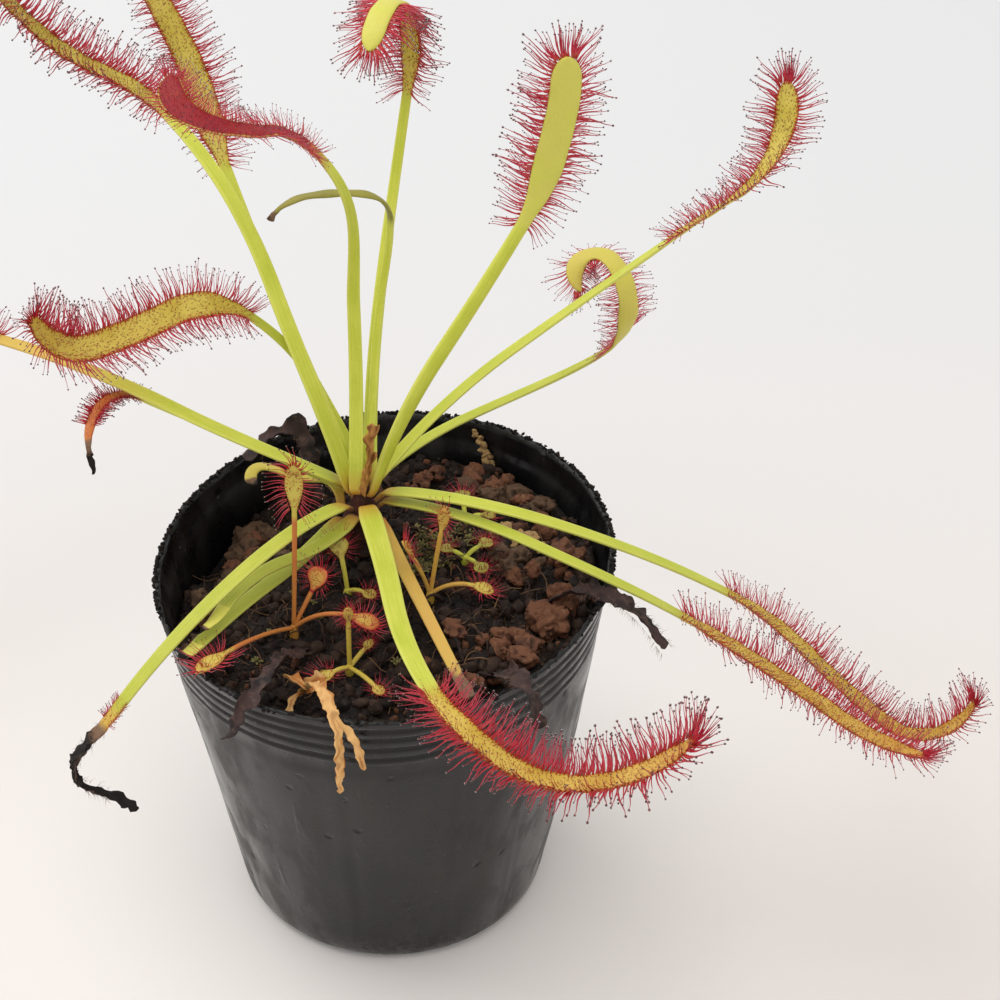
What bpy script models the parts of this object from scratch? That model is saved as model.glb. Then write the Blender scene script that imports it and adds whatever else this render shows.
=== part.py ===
"""Potted cape sundew: a film pot of peat, a short stem, its long sticky leaves and small plantlets.

Metres, +Z up. The origin is the middle of the pot's underside and the front of the plant faces -Y.
Every leaf is one closed skin: a thin arched section is carried along the midrib, and the tentacles
are drawn out as points from the narrow faces between two sections.
"""
import math
import random
from typing import NamedTuple

import bpy
import bmesh
from mathutils import Matrix, Vector
from mathutils.bvhtree import BVHTree

MM = 0.001
GAP = 0.3 * MM

# The pot, a soft 9 cm nursery pot that has been squeezed a little out of round.
POT_HEIGHT = 80.0 * MM
RIM_RADIUS = 45.0 * MM
BASE_RADIUS = 31.7 * MM
BASE_BEND = 4.0 * MM
POT_WALL = 0.9 * MM
POT_FLOOR = 1.2 * MM
SQUEEZE = 2.0 * MM
SQUEEZE_TURN = math.radians(64.0)
RIM_BAND = 5.0 * MM
RIM_STEP = 0.5 * MM
GROOVES = (5.0, 8.0, 11.0)
GROOVE_DEPTH = 0.4 * MM
GROOVE_WIDTH = 0.7 * MM
POT_SIDES = 40
DRAIN_COUNT = 8
DRAIN_RADIUS = 3.0 * MM
DRAIN_CIRCLE = 21.0 * MM

# The peat and clay granules that fill the pot.
SOIL_LEVEL = 72.0 * MM
SOIL_SIDES = 30
SOIL_DIP = (-38.0, 20.0, 5.5)
SOIL_RINGS = 8

# The stem stands a little behind the pot's axis.
STEM_X = -5.0 * MM
STEM_Y = 11.0 * MM
STEM_RADIUS = 4.0 * MM
STEM_FOOT = 64.0 * MM
STEM_TOP = 88.0 * MM

# A leaf's section.
STALK_THICK = 1.1 * MM
BLADE_THICK = 0.8 * MM
EDGE_THICK = 0.6 * MM
TENTACLE_PITCH = 3.0 * MM
TENTACLE_ROOT = 0.5 * MM
FAN = math.radians(24.0)


class Leaf(NamedTuple):
    """One leaf. Lengths are in millimetres and angles in degrees.

    The root stands at the height base, reach from the stem's axis, on the side that seat names.
    turn and rise are the midrib's heading (from +X towards +Y) and its slope above level, at the
    root, half way up the stalk, where the blade starts, at each third of the blade and at the tip.
    twist turns the leaf about its own midrib at the same places.
    """

    name: str
    base: float
    reach: float
    seat: float
    stalk: float
    blade: float
    turn: tuple
    rise: tuple
    stalk_width: float
    blade_width: float
    tentacle: float
    colour: str
    twist: tuple = (0.0, 0.0, 0.0, 0.0, 0.0, 0.0)


LEAVES = (
    Leaf("leaf_back_left_long", 88.9, 2.6, 176, 83, 50,
         (146, 118, 135, 153, 164, 177), (74, 40, 19, 8, 41, 59),
         3.0, 4.0, 6.5, "green"),
    Leaf("leaf_back_left_broad", 88.9, 2.6, 129, 67, 45,
         (129, 121, 115, 113, 133, 142), (52, 39, 33, 39, 46, 56),
         2.6, 5.8, 5.5, "green"),
    Leaf("leaf_left_high_arch", 88.9, 1.6, 221, 70, 42,
         (88, 95, 9, 57, -23, -104), (45, 67, 125, 155, 171, 168),
         2.4, 4.0, 3.4, "green", (0, 0, 162, 174, 170, 182)),
    Leaf("leaf_back_upright", 88.9, 2.6, 51, 77, 42,
         (93, 82, 74, 60, 74, 75), (35, 43, 60, 102, 164, 227),
         2.2, 4.3, 6.0, "green"),
    Leaf("leaf_slim_arch", 88.9, 0.6, 55, 52, 31,
         (80, 88, 42, 19, -7, -16), (44, 47, 88, 163, 196, 243),
         1.6, 2.2, 0.0, "olive"),
    Leaf("leaf_right_back_view", 88.9, 2.6, 335, 59, 36,
         (38, 29, 25, 15, 7, 0), (67, 52, 57, 75, 80, 94),
         2.4, 5.6, 6.0, "green", (-70, -118, -118, -105, -94, -76)),
    Leaf("leaf_right_high", 86.8, 4.6, 60, 74, 41,
         (39, 21, 18, 20, 55, 101), (38, 30, 31, 25, 41, 53),
         2.6, 3.6, 6.0, "green", (0, 0, -20, -30, -15, 10)),
    Leaf("leaf_back_right_curl", 85.6, 4.5, 77, 63, 40,
         (65, 39, -12, -71, -50, 145), (-5, -1, 43, 83, 174, 236),
         2.4, 4.2, 4.0, "green"),
    Leaf("leaf_right_long", 86.2, 5.0, 18, 75, 63,
         (-40, -5, 10, -28, -37, 32), (28, -18, -38, -37, -18, 68),
         2.8, 3.6, 5.5, "green"),
    Leaf("leaf_right_low", 84.2, 5.0, 15, 66, 57,
         (-36, -29, 6, -7, -27, -23), (21, -6, -39, -35, -24, 2),
         2.6, 3.8, 5.5, "green"),
    Leaf("leaf_front_arch", 86.6, 4.5, 287, 53, 57,
         (-75, -80, -66, -35, -8, 19), (-1, -1, 4, -16, 19, 40),
         3.0, 4.5, 6.5, "green"),
    Leaf("leaf_front_old", 83.0, 5.0, 315, 44, 6,
         (-67, -68, -70, -70, -75, -79), (-10, -6, 0, 6, 9, 11),
         2.6, 2.4, 0.0, "yellow"),
    Leaf("leaf_front_left_withered", 86.2, 4.7, 220, 65, 32,
         (-118, -132, -141, -168, -160, -210), (26, -13, -41, -48, -139, -168),
         3.0, 3.0, 0.0, "green"),
    Leaf("leaf_front_left_second", 84.2, 4.6, 250, 36, 8,
         (-121, -139, -115, -112, -122, -135), (-4, 10, -6, -1, 1, -4),
         2.4, 2.4, 0.0, "green"),
    Leaf("leaf_front_left_broad", 82.0, 5.0, 209, 44, 5,
         (-120, -125, -121, -126, -132, -136), (-3, 4, -1, -5, -8, -10),
         3.0, 2.6, 0.0, "green"),
    Leaf("leaf_left_long", 86.9, 5.0, 137, 75, 46,
         (-161, -197, -207, -191, -177, -167), (38, 20, -3, -1, 8, 14),
         3.0, 4.2, 6.0, "green"),
    Leaf("leaf_left_bent_tip", 84.9, 5.0, 128, 44, 25,
         (186, 179, 162, 245, 268, 309), (35, 29, 14, 0, -17, -89),
         2.4, 2.4, 2.0, "green", (0, 0, 0, -16, 10, 44)),
    Leaf("leaf_left_forward", 89.2, 2.9, 89, 40, 53,
         (111, 139, 199, 217, 228, 206), (17, 51, 46, -6, 11, 78),
         2.2, 5.2, 5.5, "green", (0, -20, -45, -32, -34, -60)),
    Leaf("leaf_left_pale_short", 82.8, 5.0, 150, 15, 10,
         (96, 178, 162, 193, 255, 311), (47, -7, 18, 17, -12, -22),
         2.0, 2.4, 0.0, "yellow"),
)


class Sprout(NamedTuple):
    """One small leaf of a plantlet: its direction, the stalk and the paddle, in degrees and mm."""

    turn: float
    rise: float
    bend: float
    stalk: float
    paddle: float
    width: float
    swing: float = 0.0


class Plantlet(NamedTuple):
    """A rooted plantlet: where it stands in mm, how high its foot rises, its colour and its leaves."""

    name: str
    x: float
    y: float
    foot: float
    colour: str
    sprouts: tuple


PLANTLETS = (
    Plantlet("plantlet_front_left", -17.0, -14.0, 3.0, "red", (
        Sprout(81.0, 76.0, 4.0, 24.0, 11.0, 3.4),
        Sprout(22.0, 66.0, -12.0, 8.5, 5.0, 4.6, 40.0),
        Sprout(234.0, 32.0, -20.0, 19.0, 9.5, 3.4),
        Sprout(350.0, 52.0, -44.0, 13.0, 7.0, 3.8, -30.0),
    )),
    Plantlet("plantlet_front", -6.0, -24.0, 2.0, "yellow", (
        Sprout(92.0, 76.0, -4.0, 9.0, 3.4, 2.0),
        Sprout(52.0, 26.0, -8.0, 4.0, 3.0, 2.0),
        Sprout(218.0, 34.0, -30.0, 3.0, 5.0, 3.2),
        Sprout(306.0, 24.0, -22.0, 8.0, 3.4, 2.4),
    )),
    Plantlet("plantlet_right", 8.5, -5.0, 2.0, "orange", (
        Sprout(57.0, 74.0, -2.0, 13.0, 5.5, 2.6),
        Sprout(8.0, 42.0, -46.0, 8.0, 5.0, 3.2, -30.0),
        Sprout(176.0, 76.0, -10.0, 9.0, 4.8, 2.8),
    )),
    Plantlet("plantlet_right_green", 15.0, 5.8, 1.2, "green", (
        Sprout(35.0, 48.0, -40.0, 3.4, 3.4, 3.2),
        Sprout(308.0, 42.0, -40.0, 3.4, 3.4, 3.2),
        Sprout(160.0, 50.0, -40.0, 2.6, 3.0, 2.8),
    )),
    Plantlet("plantlet_back_green", 14.8, 19.8, 1.2, "green", (
        Sprout(100.0, 75.0, -60.0, 3.6, 3.6, 3.6),
        Sprout(0.0, 45.0, -40.0, 3.4, 3.2, 2.8),
    )),
    Plantlet("plantlet_centre", -7.4, -3.6, 1.5, "yellow", (
        Sprout(110.0, 76.0, -28.0, 6.4, 4.6, 3.6),
        Sprout(330.0, 46.0, -40.0, 3.4, 3.4, 2.8),
    )),
)


class Strap(NamedTuple):
    """A dead leaf as a flat strap: its start and lift in mm, its runs, its width and its colour.

    Each run is a length in millimetres, a heading and a slope in degrees.
    """

    name: str
    x: float
    y: float
    lift: float
    runs: tuple
    width: float
    colour: str


STRAPS = (
    Strap("dead_leaf_front_left", -14.5, -19.5, 1.2, (
        (10.0, 250.0, 35.0), (13.0, 252.0, 20.0), (6.0, 240.0, -24.0), (9.0, 224.0, -64.0),
    ), 3.0, "black"),
    Strap("dead_leaf_front", -14.5, -31.5, 1.1, (
        (8.0, 300.0, 57.0), (8.0, 298.0, 23.0), (5.0, 290.0, -20.0), (8.0, 282.0, -74.0),
        (8.0, 275.0, -94.0),
    ), 3.4, "tan"),
    Strap("dead_leaf_back_left", -16.0, 27.0, 1.0, (
        (9.0, 95.0, 66.0), (5.0, 110.0, 45.0), (6.0, 200.0, 5.0), (8.0, 232.0, -20.0),
    ), 3.8, "black"),
    Strap("dead_leaf_right", 29.5, -8.0, 1.1, (
        (8.0, 345.0, 42.0), (7.0, 340.0, 16.0), (8.0, 328.0, -20.0), (8.0, 320.0, -40.0),
    ), 3.6, "black"),
    Strap("dead_leaf_front_right", 20.5, -28.5, 0.9, (
        (11.0, 302.0, 50.0), (6.0, 300.0, 8.0), (7.0, 285.0, -60.0),
    ), 3.2, "black"),
    Strap("withered_leaf_centre", -4.6, 8.6, 0.0, (
        (8.0, 40.0, 86.0), (8.0, 70.0, 76.0),
    ), 1.8, "tan"),
)

COLOURS = {
    "pot": ((0.018, 0.019, 0.021), 0.42),
    "soil": ((0.060, 0.030, 0.018), 0.95),
    "stem": ((0.030, 0.016, 0.010), 0.85),
    "green": ((0.42, 0.52, 0.05), 0.45),
    "olive": ((0.24, 0.24, 0.05), 0.5),
    "yellow": ((0.55, 0.42, 0.06), 0.5),
    "orange": ((0.52, 0.22, 0.05), 0.5),
    "red": ((0.48, 0.07, 0.05), 0.45),
    "tan": ((0.42, 0.26, 0.10), 0.8),
    "black": ((0.025, 0.018, 0.016), 0.8),
}


def clear_scene():
    """Remove every object that is already there."""
    for item in list(bpy.data.objects):
        bpy.data.objects.remove(item, do_unlink=True)


def material(colour):
    """Return the named finish, made once."""
    found = bpy.data.materials.get(colour)
    if found:
        return found
    rgb, roughness = COLOURS[colour]
    made = bpy.data.materials.new(colour)
    made.use_nodes = True
    shader = made.node_tree.nodes["Principled BSDF"]
    shader.inputs["Base Color"].default_value = (*rgb, 1.0)
    shader.inputs["Roughness"].default_value = roughness
    made.diffuse_color = (*rgb, 1.0)
    return made


def add_object(name, bm, colour):
    """Turn a bmesh into a named object with one finish."""
    bmesh.ops.recalc_face_normals(bm, faces=bm.faces)
    mesh = bpy.data.meshes.new(name)
    bm.to_mesh(mesh)
    bm.free()
    mesh.materials.append(material(colour))
    thing = bpy.data.objects.new(name, mesh)
    bpy.context.collection.objects.link(thing)
    return thing


def loft(rings, points=None):
    """Skin a run of closed sections; points maps (segment, side) to the tip drawn out of that face."""
    points = points or {}
    bm = bmesh.new()
    rows = [[bm.verts.new(corner) for corner in ring] for ring in rings]
    count = len(rows[0])
    for step in range(len(rows) - 1):
        low, high = rows[step], rows[step + 1]
        for side in range(count):
            after = (side + 1) % count
            corners = (low[side], low[after], high[after], high[side])
            if (step, side) not in points:
                bm.faces.new(corners)
                continue
            tip = bm.verts.new(points[(step, side)])
            for index in range(4):
                bm.faces.new((corners[index], corners[(index + 1) % 4], tip))
    bm.faces.new(list(reversed(rows[0])))
    bm.faces.new(rows[-1])
    return bm


def squeezed(radius, angle, height):
    """A point of the pot's wall, where the rim is pressed slightly oval."""
    share = max(0.0, height / POT_HEIGHT) ** 2
    reach = radius + SQUEEZE * share * math.cos(2.0 * (angle - SQUEEZE_TURN))
    return Vector((reach * math.cos(angle), reach * math.sin(angle), height))


def wall_radius(height):
    """The pot's outer radius at a height above its bend."""
    share = (height - BASE_BEND) / (POT_HEIGHT - BASE_BEND)
    return BASE_RADIUS + (RIM_RADIUS - BASE_RADIUS) * max(share, 0.0)


def pot_profile():
    """Radius and height pairs from the outer foot, up over the rim and down to the inner floor."""
    outline = [(BASE_RADIUS - 4.0 * MM, 0.0), (BASE_RADIUS - 1.2 * MM, 1.2 * MM)]
    outline.append((BASE_RADIUS, BASE_BEND))
    for drop in reversed(GROOVES):
        level = POT_HEIGHT - drop * MM
        outline.append((wall_radius(level - GROOVE_WIDTH), level - GROOVE_WIDTH))
        outline.append((wall_radius(level) - GROOVE_DEPTH, level))
        outline.append((wall_radius(level + GROOVE_WIDTH), level + GROOVE_WIDTH))
    outline.append((RIM_RADIUS, POT_HEIGHT))
    outline.append((RIM_RADIUS - POT_WALL, POT_HEIGHT))
    level = POT_HEIGHT - RIM_BAND
    outline.append((wall_radius(level) - POT_WALL, level))
    outline.append((wall_radius(level) - POT_WALL - RIM_STEP, level - 0.6 * MM))
    level = BASE_BEND
    outline.append((BASE_RADIUS - POT_WALL - RIM_STEP, level))
    outline.append((BASE_RADIUS - 4.2 * MM, POT_FLOOR))
    return outline


def turned_shell(profile):
    """Turn the profile round the axis and close it under and over the floor."""
    bm = bmesh.new()
    rows = []
    for radius, height in profile:
        row = []
        for step in range(POT_SIDES):
            angle = math.tau * step / POT_SIDES
            row.append(bm.verts.new(squeezed(radius, angle, height)))
        rows.append(row)
    for low, high in zip(rows, rows[1:]):
        for step in range(POT_SIDES):
            after = (step + 1) % POT_SIDES
            bm.faces.new((low[step], low[after], high[after], high[step]))
    bm.faces.new(list(reversed(rows[0])))
    bm.faces.new(rows[-1])
    return bm


def cutter(name, radius, low, high, places, sides):
    """Plain round cutters at the given places, in one hidden guide object."""
    bm = bmesh.new()
    for x, y in places:
        middle = Matrix.Translation((x, y, (low + high) / 2.0))
        bmesh.ops.create_cone(
            bm, cap_ends=True, segments=sides, radius1=radius, radius2=radius,
            depth=high - low, matrix=middle,
        )
    guide = add_object(name, bm, "stem")
    guide.hide_render = True
    guide.hide_set(True)
    guide.display_type = "WIRE"
    return guide


def cut(thing, guide):
    """Cut a guide's holes out of an object."""
    modifier = thing.modifiers.new(guide.name, "BOOLEAN")
    modifier.operation = "DIFFERENCE"
    modifier.solver = "EXACT"
    modifier.object = guide


def build_pot():
    """The film pot, with grooves under its rim and drain holes round a solid middle."""
    pot = add_object("pot", turned_shell(pot_profile()), "pot")
    places = []
    for index in range(DRAIN_COUNT):
        angle = math.tau * (index + 0.5) / DRAIN_COUNT
        places.append((DRAIN_CIRCLE * math.cos(angle), DRAIN_CIRCLE * math.sin(angle)))
    cut(pot, cutter("drain_holes", DRAIN_RADIUS, -MM, 3.0 * MM, places, 8))
    return pot


def soil_height(x, y):
    """The peat's level: low by the left wall, heaped towards the stem, the front and the right."""
    dx = (x - STEM_X) / MM
    dy = (y - STEM_Y) / MM
    level = 2.5 * math.exp(-(dx * dx + dy * dy) / 500.0)
    level += 0.055 * (x / MM) - 0.035 * (y / MM)
    level += 0.9 * math.sin(0.31 * dx + 0.9) * math.cos(0.27 * dy + 0.4)
    level += 0.7 * math.sin(0.62 * dx - 0.2) * math.sin(0.55 * dy + 1.3)
    dip_x, dip_y, depth = SOIL_DIP
    level -= depth * math.exp(-((x / MM - dip_x) ** 2 + (y / MM - dip_y) ** 2) / 290.0)
    return SOIL_LEVEL + level * MM


def build_soil():
    """The growing medium: the pot's inside up to its uneven surface, with planting holes."""
    bm = bmesh.new()
    low = POT_FLOOR + GAP
    rows = []
    side = POT_WALL + RIM_STEP + 2.0 * GAP
    levels = ((BASE_RADIUS - 6.4 * MM, low), (BASE_RADIUS - side, BASE_BEND + MM))
    for radius, height in levels:
        rows.append([squeezed(radius, math.tau * k / SOIL_SIDES, height) for k in range(SOIL_SIDES)])
    for ring in range(SOIL_RINGS, 0, -1):
        row = []
        for k in range(SOIL_SIDES):
            angle = math.tau * k / SOIL_SIDES
            edge = squeezed(wall_radius(SOIL_LEVEL), angle, SOIL_LEVEL)
            level = min(SOIL_LEVEL, soil_height(edge.x, edge.y)) - MM
            edge = squeezed(wall_radius(level) - side - 0.3 * MM, angle, level)
            share = ring / SOIL_RINGS
            x = STEM_X * (1.0 - share) + edge.x * share
            y = STEM_Y * (1.0 - share) + edge.y * share
            height = soil_height(x, y)
            if ring == SOIL_RINGS:
                height = min(height, SOIL_LEVEL + 1.5 * MM) - MM
            row.append(Vector((x, y, height)))
        rows.append(row)
    corners = [[bm.verts.new(point) for point in row] for row in rows]
    for lower, upper in zip(corners, corners[1:]):
        for k in range(SOIL_SIDES):
            after = (k + 1) % SOIL_SIDES
            bm.faces.new((lower[k], lower[after], upper[after], upper[k]))
    bm.faces.new(list(reversed(corners[0])))
    middle = bm.verts.new((STEM_X, STEM_Y, soil_height(STEM_X, STEM_Y)))
    for k in range(SOIL_SIDES):
        bm.faces.new((corners[-1][k], corners[-1][(k + 1) % SOIL_SIDES], middle))
    surface = BVHTree.FromBMesh(bm)
    soil = add_object("growing_medium", bm, "soil")
    hole = cutter("stem_hole", STEM_RADIUS + 2.0 * GAP, STEM_FOOT - GAP, POT_HEIGHT, ((STEM_X, STEM_Y),), 12)
    cut(soil, hole)
    places = [(item.x * MM, item.y * MM) for item in PLANTLETS]
    cut(soil, cutter("plantlet_holes", 1.3 * MM, SOIL_LEVEL - 5.0 * MM, POT_HEIGHT + 9.0 * MM, places, 8))
    return surface


def ground(surface, x, y):
    """The height of the peat's faceted surface under a point."""
    hit = surface.ray_cast(Vector((x, y, 0.2)), Vector((0.0, 0.0, -1.0)))[0]
    return hit.z if hit else SOIL_LEVEL


def build_stem():
    """The short dark stem, ringed by the stubs of old leaf bases."""
    rings = []
    levels = 9
    for level in range(levels + 1):
        share = level / levels
        height = STEM_FOOT + (STEM_TOP - STEM_FOOT) * share
        swell = 1.0 if level % 2 or level > levels - 2 else 0.9
        if level == 0:
            swell = 0.82
        row = []
        for k in range(10):
            angle = math.tau * (k + 0.5 * (level % 2)) / 10
            radius = STEM_RADIUS * swell
            row.append(Vector((
                STEM_X + radius * math.cos(angle), STEM_Y + radius * math.sin(angle), height,
            )))
        rings.append(row)
    return add_object("stem", loft(rings), "stem")


def direction(turn, rise):
    """A unit vector from a heading and a slope in radians."""
    return Vector((math.cos(rise) * math.cos(turn), math.cos(rise) * math.sin(turn), math.sin(rise)))


def blend(marks, values, place):
    """Read a value between two marks in a straight line."""
    for index in range(len(marks) - 1):
        if place <= marks[index + 1] or index == len(marks) - 2:
            share = (place - marks[index]) / (marks[index + 1] - marks[index])
            share = min(max(share, 0.0), 1.0)
            return values[index] + (values[index + 1] - values[index]) * share
    return values[-1]


def midrib(start, marks, turns, rises, stops):
    """Walk from the start and return a (point, along, across, upper) frame at each stop."""
    frames = []
    point = Vector(start)
    last = 0.0
    for stop in stops:
        steps = max(1, int((stop - last) / (0.8 * MM)))
        for step in range(steps):
            middle = last + (stop - last) * (step + 0.5) / steps
            turn = math.radians(blend(marks, turns, middle))
            rise = math.radians(blend(marks, rises, middle))
            point = point + direction(turn, rise) * ((stop - last) / steps)
        last = stop
        turn = math.radians(blend(marks, turns, stop))
        rise = math.radians(blend(marks, rises, stop))
        along = direction(turn, rise)
        across = Vector((-math.sin(turn), math.cos(turn), 0.0))
        frames.append((point.copy(), along, across, along.cross(across)))
    return frames


def twisted(frame, angle):
    """Turn a frame about its own midrib."""
    point, along, across, upper = frame
    spin = Matrix.Rotation(angle, 3, along)
    return point, along, spin @ across, spin @ upper


def section(frame, width, thick):
    """Seven corners: two flat edges, a narrow ridge on the upper side and a keel below."""
    point, along, across, upper = frame
    half = width / 2.0
    edge = min(EDGE_THICK, thick) / 2.0
    ridge = min(0.25 * MM, half * 0.3)
    crown = thick * 0.45
    corners = (
        (half, -edge), (half, edge), (ridge, crown), (-ridge, crown),
        (-half, edge), (-half, -edge), (0.0, -thick * 0.75),
    )
    return [point + across * u + upper * v for u, v in corners]


def leaf_root(leaf):
    """Where a leaf starts, on the stem's top or just clear of its side."""
    seat = math.radians(leaf.seat)
    reach = leaf.reach * MM
    return Vector((STEM_X + reach * math.cos(seat), STEM_Y + reach * math.sin(seat), leaf.base * MM))


def stalk_stops(length):
    """Where the stalk's sections stand."""
    count = max(4, int(length / (9.0 * MM)))
    return [length * k / count for k in range(count)]


def blade_stops(length, bare):
    """Pairs of stops along the blade, a tentacle's root apart, up to the rounded tip."""
    if bare:
        count = max(3, int(length / (4.0 * MM)))
        return [length * (0.04 + 0.90 * k / (count - 1)) for k in range(count)]
    count = max(2, int((length - 1.5 * MM) / TENTACLE_PITCH))
    stops = []
    for k in range(count):
        place = 0.6 * MM + (length - 2.2 * MM) * k / (count - 1)
        stops.append(place)
        stops.append(place + TENTACLE_ROOT)
    return stops


def build_leaf(leaf):
    """One leaf with its stalk, blade and tentacles in a single closed skin."""
    draw = random.Random(leaf.name)
    stalk = leaf.stalk * MM
    blade = leaf.blade * MM
    marks = (0.0, stalk / 2.0, stalk, stalk + blade / 3.0, stalk + 2.0 * blade / 3.0, stalk + blade)
    stops = stalk_stops(stalk)
    first = len(stops)
    bare = leaf.tentacle == 0.0
    spots = blade_stops(blade, bare)
    stops += [stalk + spot for spot in spots] + [stalk + blade]
    frames = midrib(leaf_root(leaf), marks, leaf.turn, leaf.rise, stops)
    twists = [math.radians(blend(marks, leaf.twist, stop)) for stop in stops]
    frames = [twisted(frame, angle) for frame, angle in zip(frames, twists)]
    rings = []
    for frame, stop in zip(frames, stops):
        share = max(0.0, (stop - stalk) / blade)
        if stop < stalk:
            width = leaf.stalk_width * MM
            width *= min(1.0, 0.62 + 0.38 * stop / (14.0 * MM))
            thick = STALK_THICK
        else:
            swell = min(1.0, 0.45 + share * 6.0)
            taper = math.sqrt(max(0.06, 1.0 - max(0.0, (share - 0.8) / 0.2) ** 2))
            width = leaf.blade_width * MM * swell * taper
            thick = BLADE_THICK
        rings.append(section(frame, width, thick))
    points = {}
    if not bare:
        for k in range(len(spots) // 2):
            step = first + 2 * k
            share = k / max(1, len(spots) // 2 - 1)
            add_tentacles(points, rings, step, frames[step], leaf, share, k, draw)
    return add_object(leaf.name, loft(rings, points), leaf.colour)


def add_tentacles(points, rings, step, frame, leaf, share, index, draw):
    """Draw one point out of each edge and, every other time, one from the ridge."""
    point, along, across, upper = frame
    reach = leaf.tentacle * MM * (0.72 + 0.28 * math.sin(math.pi * min(1.0, share + 0.12)))
    lean = 0.10 * (share - 0.35)
    for side, sign in ((0, 1.0), (4, -1.0)):
        corners = [rings[step][side], rings[step][side + 1], rings[step + 1][side], rings[step + 1][side + 1]]
        root = sum(corners, Vector()) / 4.0
        fan = FAN * (0.35 if (index + side // 4) % 2 else 1.3) + 0.06 * draw.random()
        way = across * sign * math.cos(fan) + upper * math.sin(fan) + along * (lean + 0.05 * draw.random())
        points[(step, side)] = root + way.normalized() * reach * (0.92 + 0.16 * draw.random())
    if index % 2 == 0:
        root = (rings[step][2] + rings[step][3] + rings[step + 1][2] + rings[step + 1][3]) / 4.0
        sway = 0.25 if index % 4 else -0.25
        way = upper + across * sway + along * lean
        points[(step, 2)] = root + way.normalized() * reach * 0.42


def build_plantlet(item, surface):
    """A plantlet: its foot in a plain hole and its small leaves, each joined to the foot."""
    x, y = item.x * MM, item.y * MM
    level = ground(surface, x, y)
    foot = [
        [Vector((x + r * math.cos(a), y + r * math.sin(a), z)) for a in [math.tau * k / 6 for k in range(6)]]
        for r, z in ((0.7 * MM, SOIL_LEVEL - 4.4 * MM), (0.9 * MM, level), (0.8 * MM, level + item.foot * MM))
    ]
    body = add_object(item.name, loft(foot), item.colour)
    start = Vector((x, y, level + (item.foot - 0.6) * MM))
    parts = bpy.data.collections.new(item.name + "_leaves")
    bpy.context.scene.collection.children.link(parts)
    for number, sprout in enumerate(item.sprouts):
        leaf = build_sprout(f"{item.name}_leaf_{number}", start, sprout, item.colour)
        bpy.context.collection.objects.unlink(leaf)
        parts.objects.link(leaf)
    union = body.modifiers.new("leaves", "BOOLEAN")
    union.operation = "UNION"
    union.solver = "EXACT"
    union.operand_type = "COLLECTION"
    union.collection = parts
    depsgraph = bpy.context.evaluated_depsgraph_get()
    joined = bpy.data.meshes.new_from_object(body.evaluated_get(depsgraph))
    body.modifiers.clear()
    body.data = joined
    for leaf in list(parts.objects):
        bpy.data.objects.remove(leaf, do_unlink=True)
    bpy.data.collections.remove(parts)
    return body


def build_sprout(name, start, sprout, colour):
    """One small leaf with a thin stalk and a round paddle edged with tentacles."""
    stalk, paddle = sprout.stalk * MM, sprout.paddle * MM
    marks = (0.0, stalk, stalk + paddle)
    turns = (sprout.turn, sprout.turn + sprout.swing * 0.5, sprout.turn + sprout.swing)
    rises = (sprout.rise, sprout.rise + sprout.bend, sprout.rise + sprout.bend * 1.4)
    stops = [0.0, stalk * 0.5, stalk * 0.97]
    first = len(stops)
    pairs = 3
    for k in range(pairs):
        place = stalk + paddle * (0.12 + 0.62 * k / (pairs - 1))
        stops += [place, place + TENTACLE_ROOT]
    stops.append(stalk + paddle)
    frames = midrib(start, marks, turns, rises, stops)
    rings = []
    for frame, stop in zip(frames, stops):
        share = (stop - stalk) / paddle
        if share < 0.0:
            rings.append(section(frame, 0.9 * MM, 0.7 * MM))
        else:
            width = sprout.width * MM * (0.35 + 0.65 * math.sin(math.pi * min(0.94, 0.12 + share * 0.85)))
            rings.append(section(frame, width, 0.7 * MM))
    points = {}
    for k in range(pairs):
        step = first + 2 * k
        point, along, across, upper = frames[step]
        for side, sign in ((0, 1.0), (4, -1.0)):
            root = (rings[step][side] + rings[step + 1][side + 1]) / 2.0
            way = across * sign + upper * 0.45 + along * (0.55 * k - 0.4)
            points[(step, side)] = root + way.normalized() * 2.4 * MM
        root = (rings[step][2] + rings[step + 1][3]) / 2.0
        points[(step, 2)] = root + (upper + along * (0.3 * k - 0.2)).normalized() * 1.8 * MM
    return add_object(name, loft(rings, points), colour)


def build_strap(strap, surface):
    """A dead leaf: a limp, uneven, curled strap that lies on the peat or hangs over the rim."""
    draw = random.Random(strap.name)
    total = sum(run[0] for run in strap.runs) * MM
    marks, turns, rises = [0.0], [strap.runs[0][1]], [strap.runs[0][2]]
    walked = 0.0
    for length, turn, rise in strap.runs:
        marks.append((walked + length / 2.0) * MM)
        turns.append(turn)
        rises.append(rise)
        walked += length
    marks.append(total)
    turns.append(strap.runs[-1][1])
    rises.append(strap.runs[-1][2])
    x, y = strap.x * MM, strap.y * MM
    level = ground(surface, x, y) + strap.lift * MM
    if strap.lift == 0.0:
        level = STEM_TOP + GAP + 0.2 * MM
    count = max(6, int(total / (3.2 * MM)))
    stops = [total * k / count for k in range(count + 1)]
    frames = midrib((x, y, level), marks, turns, rises, stops)
    rings = []
    for k, frame in enumerate(frames):
        width = strap.width * MM * (0.55 + 0.45 * math.sin(math.pi * (0.15 + 0.75 * k / count)))
        width *= 0.8 + 0.4 * draw.random()
        spin = math.radians(26.0) * math.sin(1.1 * k + draw.random())
        rings.append(section(twisted(frame, spin), width, 0.8 * MM))
    return add_object(strap.name, loft(rings), strap.colour)


def main():
    """Build every piece."""
    clear_scene()
    build_pot()
    surface = build_soil()
    build_stem()
    for leaf in LEAVES:
        build_leaf(leaf)
    for item in PLANTLETS:
        build_plantlet(item, surface)
    for strap in STRAPS:
        build_strap(strap, surface)


main()
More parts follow.
